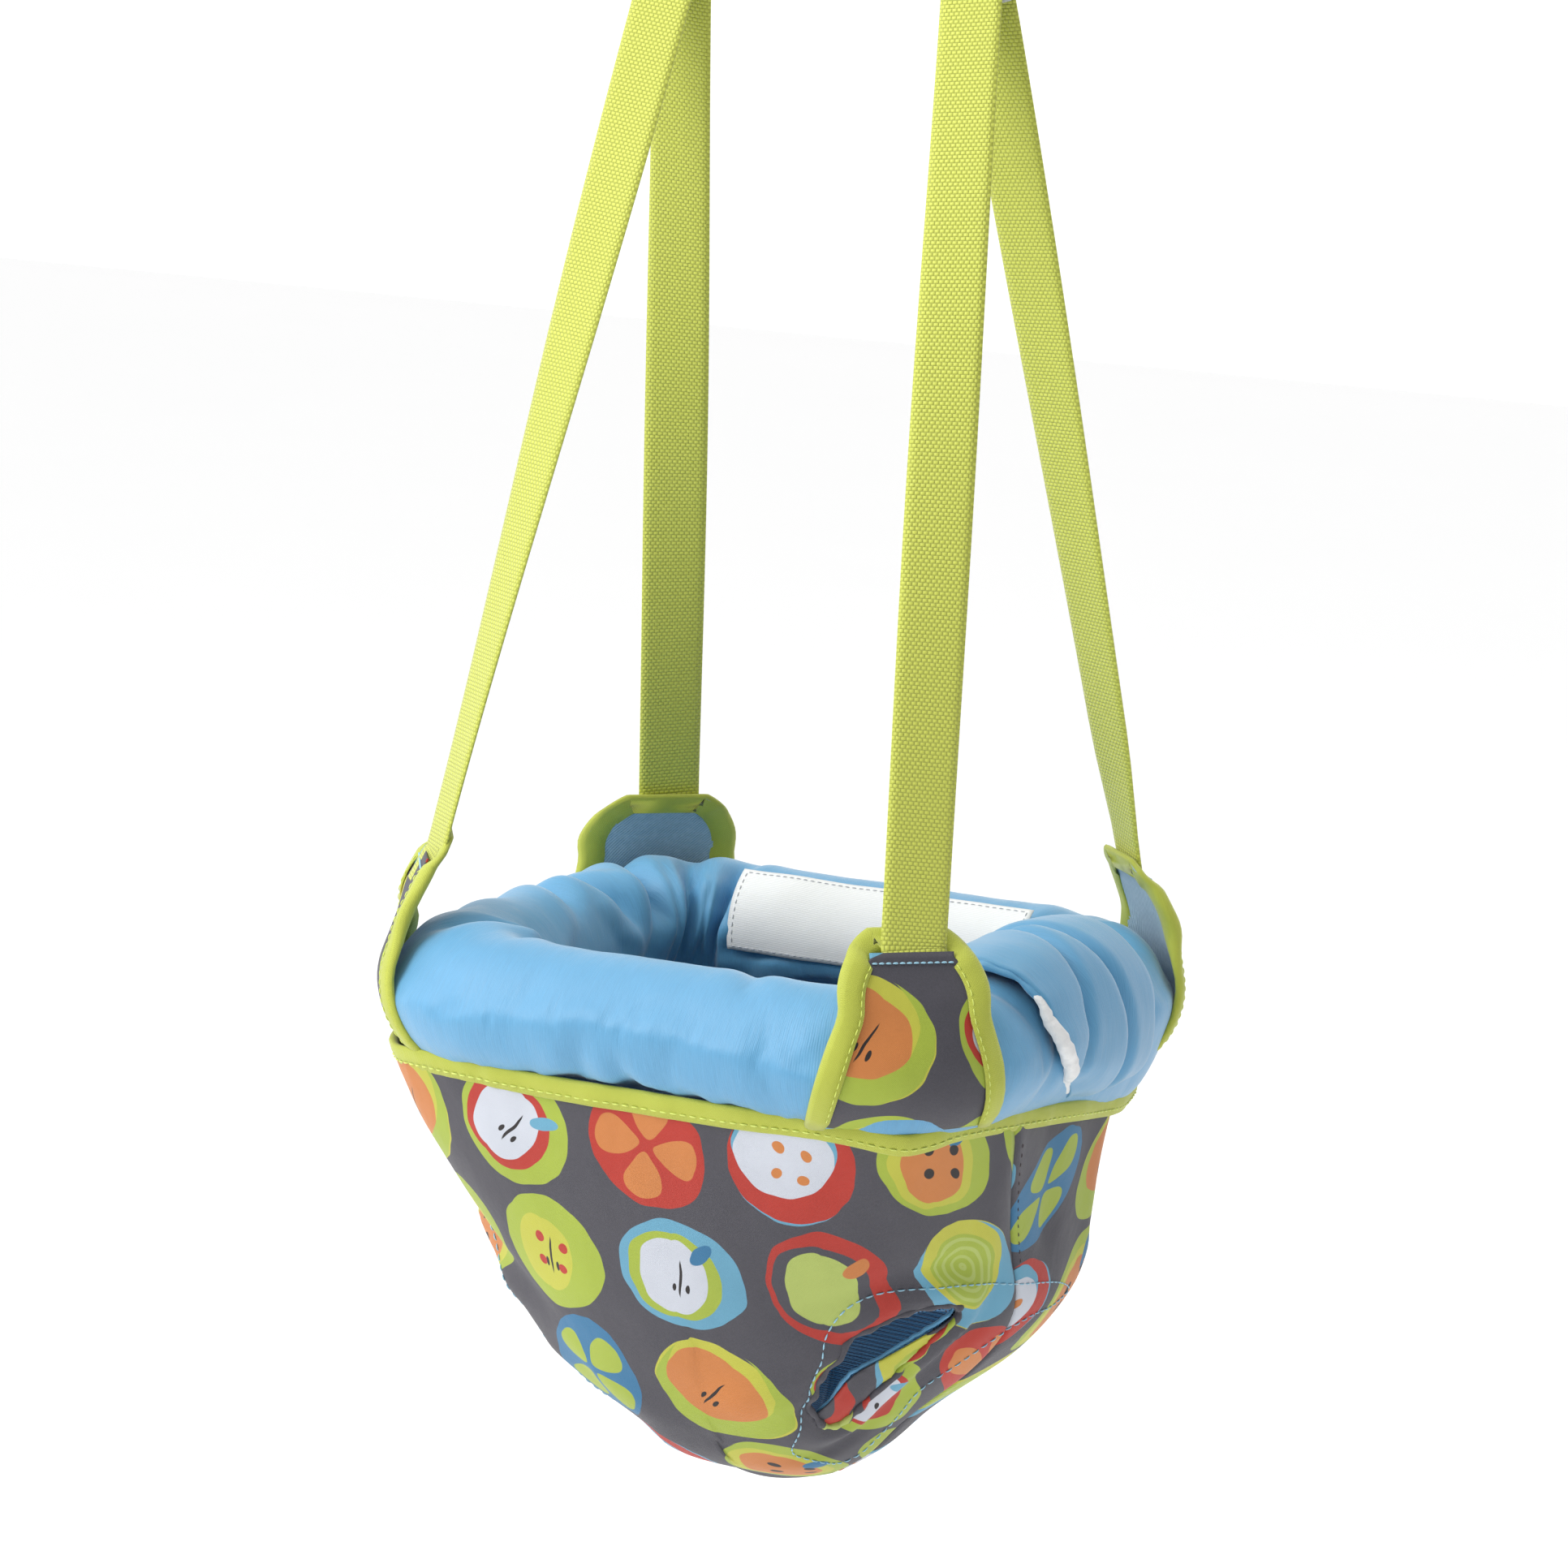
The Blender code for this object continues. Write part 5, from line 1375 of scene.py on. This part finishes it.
def clip(points, faces, uvs, keep):
    """Cuts faces along keep = 0 and returns the part where keep is positive."""
    points, uvs = [tuple(p) for p in points], [tuple(u) for u in uvs]
    keep = list(keep)
    cuts, kept = {}, []
    for face in faces:
        values = [keep[i] for i in face]
        if min(values) >= 0:
            kept.append(list(face))
            continue
        if max(values) <= 0:
            continue
        cut = []
        for here, after in zip(face, list(face[1:]) + [face[0]]):
            if keep[here] >= 0:
                cut.append(here)
            if (keep[here] >= 0) != (keep[after] >= 0):
                key = (min(here, after), max(here, after))
                if key not in cuts:
                    a, b = key
                    t = keep[a] / (keep[a] - keep[b])
                    cuts[key] = len(points)
                    points.append(tuple(p + (q - p) * t for p, q in zip(points[a], points[b])))
                    uvs.append(tuple(p + (q - p) * t for p, q in zip(uvs[a], uvs[b])))
                    keep.append(0.0)
                cut.append(cuts[key])
        if len(cut) > 2:
            kept.append(cut)
    used = sorted({i for face in kept for i in face})
    index = {old: new for new, old in enumerate(used)}
    return [points[i] for i in used], [[index[i] for i in face] for face in kept], [uvs[i] for i in used]


def grid_faces(rows, columns):
    """The quads of a grid of points."""
    index = np.arange(rows * columns).reshape(rows, columns)
    corners = (index[:-1, :-1], index[1:, :-1], index[1:, 1:], index[:-1, 1:])
    return np.stack(corners, axis=-1).reshape(-1, 4).tolist()


def gathered(points, outline):
    """The slack round a leg opening: a soft raised hem drawn into small gathers."""
    points = np.asarray(points, dtype=float)
    far = np.abs(leg_measure(points, outline)) / MM
    place = leg_place(points)
    middle = outline.mean(axis=0)
    turn = np.arctan2(place[:, 1] - middle[1], place[:, 0] - middle[0])
    pleats = np.sin(5 * turn + 1.3 * np.sin(2 * turn)) + 0.5 * np.sin(11 * turn + 2)
    front = 0.5 - 0.5 * np.cos(turn - math.radians(20))
    move = (0.35 + 0.75 * front) * pleats * np.exp(-far / 11)
    move += 3.0 * np.exp(-((far - 5) / 5) ** 2) - 2.2 * np.exp(-((far - 17) / 5) ** 2)
    hand = np.sign(points[:, 0] - RING.x)
    moved = points.copy()
    moved[:, 0] += hand * move * MM
    moved[:, 2] -= 0.25 * move * MM
    return moved


def bucket_panel(name, ways, grid, inset, top, material, thickness, grow=0.0, band=None, hole=LEG_EDGE):
    """A panel of the bucket with the leg openings cut away; band keeps only a strip round them."""
    columns, rows = grid
    points, uvs = bucket_grid(*ways, columns, rows, inset, top)
    faces = grid_faces(points.shape[0], columns)
    flat, flat_uv = points.reshape(-1, 3), uvs.reshape(-1, 2)
    outline = closed_curve(LEG_EDGE)
    flat, faces, flat_uv = clip(flat, faces, flat_uv, leg_measure(flat, closed_curve(hole)) - grow)
    if band:
        flat, faces, flat_uv = clip(flat, faces, flat_uv, band - leg_measure(flat, outline))
    piece = mesh_object(name, gathered(flat, outline), faces, flat_uv, material)
    thicken(piece, thickness, -1.0)
    return piece


def bucket_skin():
    """The bucket's outer face without its openings, to lay stitches and hems on."""
    columns, rows = WHOLE_GRID
    points, _ = bucket_grid(*ALL_ROUND, columns, rows, 0.0, RIM_DROP)
    moved = gathered(points.reshape(-1, 3), closed_curve(LEG_EDGE))
    return BVHTree.FromPolygons([tuple(p) for p in moved], grid_faces(points.shape[0], columns))


def on_skin(skin, hand, outline, lift=0.0):
    """Points and outward directions on the bucket's side, for an outline of (y, z) points."""
    path, outward = [], []
    for y, z in outline:
        shift = LEFT_LEG_BACK if hand < 0 else 0.0
        start = Vector((RING.x + hand * 0.3, RING.y + y + shift, RING.z + z))
        at, normal, _, _ = skin.ray_cast(start, Vector((-hand, 0, 0)))
        if at is None:
            continue
        if normal.x * hand < 0:
            normal = -normal
        path.append(at + normal * lift)
        outward.append(normal)
    return path, outward


def hem_taper(t):
    """The rolled hem's uneven thickness along its length."""
    return 1.0 + 0.25 * math.sin(40 * math.pi * t) + 0.15 * math.sin(26 * math.pi * t)


def leg_trims(finishes):
    """Rolled hems and stitches on the shell, and the trims on the lining, round the leg openings."""
    skin, edge, stitched = bucket_skin(), closed_curve(LEG_EDGE), closed_curve(LEG_STITCH)
    # The facing's back edge, where the lining's own edge shows
    inner_edge = closed_curve(LEG_FACING)[52:]
    on_shell, on_lining = [], []
    for side, hand in (("left", -1), ("right", 1)):
        path, _ = on_skin(skin, hand, edge, -0.8 * MM)
        hem = tube_object("leg_edge_" + side, path, 1.5 * MM, finishes["print_back"], 8, True, hem_taper)
        dress(hem, "printed_fabric", "leg_hem_" + side)
        path, _ = on_skin(skin, hand, inner_edge, -3.4 * MM)
        trim = tube_object("mesh_edge_" + side, path, 0.9 * MM, finishes["satin"], 8)
        dress(trim, "mesh_fabric")
        path, outward = on_skin(skin, hand, stitched, 0.1 * MM)
        stitches = closed_stitches("leg_stitch_" + side, path, outward, finishes["sky_thread"],
                                   3.2, 1.0, 0.36)
        dress(stitches, "printed_fabric")
        on_shell += [hem, stitches]
        on_lining.append(trim)
    return on_shell, on_lining


def seam_stitches(finishes):
    """A row of dark stitches just behind each side seam."""
    seams = []
    for side, way in (("left", -SEAM_STITCH), ("right", SEAM_STITCH)):
        path, outward = [], []
        for depth in np.linspace(40, 96, 44) * MM:
            line = bucket_line(depth, np.array([way, way + 0.01]))
            along = line[1] - line[0]
            out = np.array([along[1], -along[0]]) / np.linalg.norm(along)
            xy = line[0] + out * bucket_move(way, depth, line[0], bucket_girth(depth))
            path.append(Vector((RING.x + xy[0], RING.y + xy[1], RING.z - depth)))
            outward.append(Vector((out[0], out[1], -0.1)))
        seam = stitch_row("seam_stitch_" + side, path, outward, finishes["dark_thread"], 2.2, 2.2, 0.24)
        dress(seam, "printed_fabric")
        seams.append(seam)
    return seams


def bucket(finishes):
    """The printed shell in two panels, the facing in its leg openings and the mesh lining."""
    front = bucket_panel("bucket_front", (-SEAM, SEAM), (110, 84), 0.0, RIM_DROP,
                         finishes["print"], 1.2 * MM)
    back = bucket_panel("bucket_back", (SEAM, 8 - SEAM), (140, 84), 0.0, RIM_DROP,
                        finishes["print_back"], 1.2 * MM)
    facing = bucket_panel("leg_facing", ALL_ROUND, WHOLE_GRID, 1.7 * MM, 60 * MM,
                          finishes["print_back"], 0.8 * MM, 0.3 * MM, 11 * MM, LEG_FACING)
    lining = bucket_panel("bucket_lining", ALL_ROUND, (200, 70), 4.2 * MM, 30 * MM,
                          finishes["mesh"], 0.7 * MM, -2.0 * MM)
    dress(front, "printed_fabric", "outer_shell")
    dress(back, "printed_fabric", "outer_shell")
    dress(facing, "printed_fabric")
    dress(lining, "mesh_fabric", "mesh_lining")
    on_shell, on_lining = leg_trims(finishes)
    seams = seam_stitches(finishes)


# Where the rim dips: way round, depth in mm and half width in eighths of the way round
RIM_DIPS = ((1.0, 4.5, 0.30), (-1.0, 2.0, 0.3), (2.6, 15.0, 0.75), (4.0, 5.0, 0.8), (-4.0, 5.0, 0.8),
            (-3.0, 5.0, 0.7))


def rim_height(way):
    """How far the rim tape dips under the ring, in metres: lowest at the back right, slightly wavy."""
    dip = 0.0
    for middle, depth, width in RIM_DIPS:
        dip += depth * math.exp(-((way - middle) / width) ** 2)
    return dip * MM + 0.9 * MM * noise.noise(Vector((way * 2.3, 4.0, 0.0)))


# The rim tape's section: outwards and up, in mm, from its top
RIM_SECTION = ((0.9, -9.3), (1.9, -8.6), (2.4, -5.0), (1.9, -1.2), (1.0, 0.2), (-0.6, 0.3), (-1.8, -1.0),
               (-2.0, -5.0), (-1.6, -9.0), (-0.6, -9.4))


def rim_binding(finishes):
    """Folded tape round the bucket's rim, stitched through, puckered and dipping under the tabs."""
    count = 420
    ways = np.linspace(-4, 4, count, endpoint=False)
    rows, uvs, path, outward, run = [], [], [], [], 0.0
    line = bucket_line(RIM_DROP, ways)
    lower = bucket_line(RIM_DROP + 9 * MM, ways)
    girth = [0.0]
    for a, b in zip(RIM_SECTION, RIM_SECTION[1:] + RIM_SECTION[:1]):
        girth.append(girth[-1] + math.dist(a, b))
    for i, way in enumerate(ways):
        along = line[(i + 1) % count] - line[i - 1]
        out = Vector((along[1], -along[0], 0)).normalized()
        if i:
            run += float(np.linalg.norm(line[i] - line[i - 1]))
        lean = Vector((lower[i][0] - line[i][0], lower[i][1] - line[i][1], 0)) / 9
        top_z = RING.z - RIM_TOP - rim_height(way)
        base = Vector((RING.x + line[i][0], RING.y + line[i][1], top_z))
        pucker = 0.6 * wave((run, 0, 0), 0.0065, 2.0) + 1.1 * wave((run, 1, 0), 0.019, 7.0)
        row = []
        for x, z in RIM_SECTION:
            ease = 1.0 + (0.35 * pucker if x > 0 else 0.0)
            outwards = out * (x * ease + 0.25 * pucker) * MM
            row.append(base + outwards + Vector((0, 0, z * MM)) + lean * (-z))
        rows.append(row)
        uvs.append([(g * MM, run) for g in girth])
        path.append(base + out * (2.35 + 0.55 * pucker) * MM + Vector((0, 0, -6.4 * MM)) + lean * 6.4)
        outward.append(out)
    run += float(np.linalg.norm(line[0] - line[-1]))
    uvs.append([(g * MM, run) for g in girth])
    piece = grid_object("rim_tape", np.array(rows), uvs, finishes["binding"], True, True)
    dress(piece, "binding", "rim_binding")
    stitches = closed_stitches("rim_stitch", path, outward, finishes["lime_thread"], 3.0, 1.2, 0.34)
    dress(stitches, "binding")


# ---------------------------------------------------------------- flap and label

# The sleeve's open end: angles round the roll in degrees, and Y in mm; it ends at FLAP_END
FLAP_MOUTH = ((-60, -50, -25, 5, 40, 76, 110, 150, 205), (-4, -8, -24, -42, -46, -48, -48, -46, -42))
FLAP_END = 52
# Folds across it: middle Y, lean per radian, depth and half width in mm
FLAP_PLEATS = ((-20, 8, 4.6, 3.0), (16, -7, 5.0, 3.4))


def flap_radius(t, turn, y):
    """The sleeve's distance from the roll's centre line, from its mouth (t 0) to its end (t 1)."""
    angle = math.radians(turn)
    open_t = (1 - t) ** 2
    gape = 0.2 + 0.8 * math.exp(-((turn + 5) / 45) ** 2)
    arch = math.sin(math.pi * min(1.0, t * 1.08)) ** 0.7
    puff_out = 2.2 + 4.6 * arch * (0.6 + 0.4 * math.sin(angle))
    puff_out += 3.4 * math.exp(-((turn + 42) / 26) ** 2) * float(smoothstep(t * 3))
    puff_out *= 1 - 0.75 * (1 - gape) * open_t ** 2
    ripple = (1.5 * math.sin(6 * angle + 2) + 0.8 * math.sin(13 * angle)) * open_t ** 2 * gape
    pleat = 0.0
    for middle, lean, depth, width in FLAP_PLEATS:
        pleat -= depth * math.exp(-((y / MM - middle - lean * angle) / width) ** 2)
    sink = float(smoothstep((t - 0.86) / 0.14)) * 6.5
    fold = 1.1 * wave((y, angle * 0.03, 0), 0.022, 3.0)
    flare = 1.8 * open_t ** 2 * gape
    return ROLL_R + (puff_out + flare + ripple + pleat * (1 - open_t ** 3) + fold - sink) * MM


def flap_hem_taper(t):
    """The sleeve's hem, gathered unevenly."""
    return 1.0 + 0.25 * math.sin(23 * t) + 0.15 * math.sin(57 * t)


def batting_taper(t):
    """The batting's tuft: thin at its ends, lumpy between them."""
    return 0.25 + 0.8 * math.sin(math.pi * t) ** 0.8 + 0.16 * math.sin(47 * t) ** 2


def cover_flap(finishes):
    """The cover's closing sleeve on the right roll: one end pushed under, its batting showing."""
    rows, uvs = [], []
    columns = 72
    for i in range(64):
        t = i / 63
        row, uv = [], []
        for k in range(columns):
            turn = -58 + 262 * k / (columns - 1)
            angle = math.radians(turn)
            mouth = float(np.interp(turn, *FLAP_MOUTH))
            y = (mouth + (FLAP_END - mouth) * t) * MM
            radius = flap_radius(t, turn, y)
            row.append((RING.x + RING_HALF[0] + radius * math.cos(angle), RING.y + y,
                        RING.z + radius * math.sin(angle)))
            uv.append((y, angle * ROLL_R))
        rows.append(row)
        uvs.append(uv)
    # Its satin is a slightly darker copy of the roll's: painted shade
    piece = grid_object("flap_sleeve", np.array(rows), uvs, finishes["satin_painted_shade"])
    thicken(piece, 1.4 * MM, -1.0)
    dress(piece, "satin", "cover_flap")
    edge = []
    for point in rows[0][2:-2]:
        here = Vector(point)
        inwards = (Vector((RING.x + RING_HALF[0], here.y, RING.z)) - here).normalized()
        edge.append(here + inwards * 0.8 * MM)
    hem = tube_object("flap_hem", edge[20:], 1.5 * MM, finishes["satin_painted_shade"], 10, False, flap_hem_taper)
    dress(hem, "satin")
    tuft = [p - Vector((0, 0.8 * MM, 0)) for p in edge[:26]]
    batting = tube_object("flap_batting", tuft, 2.9 * MM, finishes["batting"], 12, False, batting_taper)
    dress(batting, "foam")


def care_label(finishes):
    """A blank sewn-in label on the back roll's inner face."""
    rows, uvs = [], []
    low_x, high_x = -62 * MM, 71 * MM
    centre = np.array((RING.x, RING.y + RING_HALF[1], RING.z))
    for i in range(22):
        t = i / 21
        angle = math.radians(126 + 66 * t)
        row, uv = [], []
        for k in range(60):
            x = low_x + (high_x - low_x) * k / 59
            lift = 0.9 + 0.8 * wave((x, t * 0.03, 0), 0.025, 3.0) + 0.5 * t
            radius = ROLL_R + 0.6 * MM + lift * MM
            row.append(centre + np.array((x, radius * math.cos(angle), radius * math.sin(angle))))
            uv.append((x, t * 36 * MM))
        rows.append(row)
        uvs.append(uv)
    piece = grid_object("label_sheet", np.array(rows), uvs, finishes["label"])
    thicken(piece, 0.4 * MM, 0.0)
    dress(piece, "label", "care_label")
    grid = np.array(rows)
    loops = [grid[1, 1:-1], grid[1:-1, -2], grid[-2, 1:-1][::-1], grid[1:-1, 1][::-1]]
    path = np.concatenate(loops)
    outward = path - centre
    outward[:, 0] = 0
    stitches = stitch_row("label_stitch", path + outward * 0.012, outward, finishes["white_thread"],
                          2.0, 1.2, 0.2)
    dress(stitches, "label")


# ---------------------------------------------------------------- spring, hanger and clamp

def hook_line(z, across, up):
    """A hook's open loop round a pin at height z; up is 1 or -1."""
    radius = 6.5 * MM
    points = []
    for i in range(22):
        angle = math.radians(-30 + 300 * i / 21)
        height = z + up * radius * math.sin(angle)
        points.append(across * radius * math.cos(angle) + Vector((0, 0, height)))
    return points


def spring_path():
    """The bounce spring's line: top hook, coil and bottom hook."""
    pin_low, pin_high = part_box("side_pin")
    top_z = (pin_low.z + pin_high.z) / 2
    bottom_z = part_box("lower_ring")[1].z - 2.5 * MM
    coil_r, turns, pitch, start_z = 14 * MM, 18, 5.4 * MM, -147 * MM
    per_turn = 26
    coil, steps, lead = [], turns * per_turn, per_turn // 2
    for i in range(-lead, steps + lead + 1):
        ends = min(i + lead, steps + lead - i) / lead
        radius = coil_r * max(0.15, float(smoothstep(min(1.0, ends))))
        angle = 2 * math.pi * i / per_turn
        z = start_z - pitch * i / per_turn
        coil.append(Vector((radius * math.cos(angle), radius * math.sin(angle), z)))
    top_hook = hook_line(top_z, Vector((1, 0, 0)), 1)
    bottom_hook = hook_line(bottom_z, Vector((0, 1, 0)), -1)
    return top_hook + coil + bottom_hook[::-1]


def stretch(piece, node):
    """Hides the CAD node that a piece of the spring stands for and bakes the piece's placement into its
    mesh.
    """
    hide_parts(node)
    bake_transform(piece)


def spring_sleeve(material):
    """The gathered cloth tube round the spring, drawn in at both ends."""
    rows, uvs = [], []
    around, steps = 128, 44
    low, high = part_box("spring_cover")
    for i in range(steps):
        t = i / (steps - 1)
        z = high.z - (high.z - low.z) * t
        gather = math.exp(-t * 9) + math.exp(-(1 - t) * 12) * 0.8
        waist = 23.6 - 5.2 * math.exp(-t * 14) - 1.6 * math.exp(-(1 - t) * 12)
        row = []
        for k in range(around):
            a = 2 * math.pi * k / around
            fold = (0.35 + gather * 0.9) * math.sin(22 * a + 1.2 * math.sin(3 * a + 5 * t))
            slack = 0.8 * wave((math.cos(a) * 0.025, math.sin(a) * 0.025, z), 0.02, 8.0)
            r = (waist + fold + slack) * MM
            row.append((r * math.cos(a), r * math.sin(a), z))
        rows.append(row)
        uvs.append([(k / around * 0.19, t * (high.z - low.z)) for k in range(around + 1)])
    sleeve = grid_object("spring_sleeve", np.array(rows), uvs, material, True)
    thicken(sleeve, 0.9 * MM, 0.0)
    thick = sleeve.evaluated_get(bpy.context.evaluated_depsgraph_get())
    ready = bpy.data.meshes.new_from_object(thick)
    sleeve.modifiers.clear()
    sleeve.data = ready
    return sleeve


def spring_parts(finishes):
    """The coil spring, the safety tether inside it and the sleeve over both."""
    spring = tube_object("coil_spring", spring_path(), 1.7 * MM, finishes["steel"], 10)
    stretch(spring, "bounce_spring")
    low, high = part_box("safety_tether")
    centres = [Vector((0, 4 * MM * math.sin(4 * math.pi * t), high.z + (low.z - high.z) * t))
               for t in np.linspace(0, 1, 22)]
    tether = webbing_ribbon("tether_webbing", centres, [Vector((1, 0, 0))] * 22, 12 * MM, 1.2 * MM,
                            finishes["webbing"], 3)
    stretch(tether, "safety_tether")
    sleeve = spring_sleeve(finishes["satin_cover"])
    stretch(sleeve, "spring_cover")


def hardware(finishes):
    """Better finishes for the rigid CAD nodes that stay."""
    finish_of = {
        "painted_steel": ("front_arm", "back_arm", "swing_link"),
        "steel": ("pivot_bolt", "pivot_nut", "torsion_spring_left", "torsion_spring_right", "side_pin",
                  "lower_ring"),
        "rubber": ("front_pad", "back_pad"),
        "vinyl": ("front_lever_grip", "back_lever_grip"),
        "plastic": ("adjuster_buckle", "spacer_bar"),
    }
    for finish, names in finish_of.items():
        for name in names:
            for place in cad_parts[name].material_slots:
                place.material = finishes[finish]


def main():
    """Builds the finishes, then the seat from the ring outwards, then what it hangs from."""
    finishes = {
        "webbing": webbing_material(),
        "binding": tape_material("binding_tape", BINDING),
        "satin": satin_material("roll_satin", SATIN),
        # The cover's sleeve gets a slightly darker copy of the roll's satin: painted shade
        "satin_painted_shade": satin_material("flap_satin", tone(SATIN, 0.95), 0.6),
        "satin_cover": satin_material("sleeve_cloth", tone(SATIN, 0.9), 0.6),
        "twill": twill_material(),
        "mesh": mesh_material(),
        "label": label_material(),
        "batting": batting_material(),
        "print": print_material("print_front", (-111.0, -21.0)),
        "print_back": print_material("print_back", (-139.5, -38.9)),
        "tab_print": print_material("print_tab", (12.0, 40.0)),
        "lime_thread": thread_material("thread_lime", (0.70, 0.80, 0.16)),
        "sky_thread": thread_material("thread_sky", (0.30, 0.55, 0.70)),
        "dark_thread": thread_material("thread_dark", (0.05, 0.03, 0.03)),
        "white_thread": thread_material("thread_white", (0.62, 0.64, 0.68)),
        "plastic": plastic_material("bar_plastic", (0.44, 0.46, 0.48)),
        "rubber": plastic_material("pad_rubber", (0.035, 0.035, 0.04), 0.75, (0, 5.0)),
        "vinyl": plastic_material("grip_vinyl", (0.03, 0.20, 0.42), 0.4, (1, 2.6)),
        "steel": metal_material("zinc_steel", (0.62, 0.63, 0.65), 0.3),
        "painted_steel": metal_material("painted_steel_coat", (0.50, 0.51, 0.52), 0.42, 0.0),
    }
    make_studio()
    make_floor()
    padded_ring(finishes["satin"])
    make_tabs(finishes)
    side_strap(-1, "strap_left", finishes["webbing"])
    side_strap(1, "strap_right", finishes["webbing"])
    height_straps(finishes)
    bucket(finishes)
    rim_binding(finishes)
    cover_flap(finishes)
    care_label(finishes)
    spring_parts(finishes)
    hardware(finishes)


make_camera()
main()
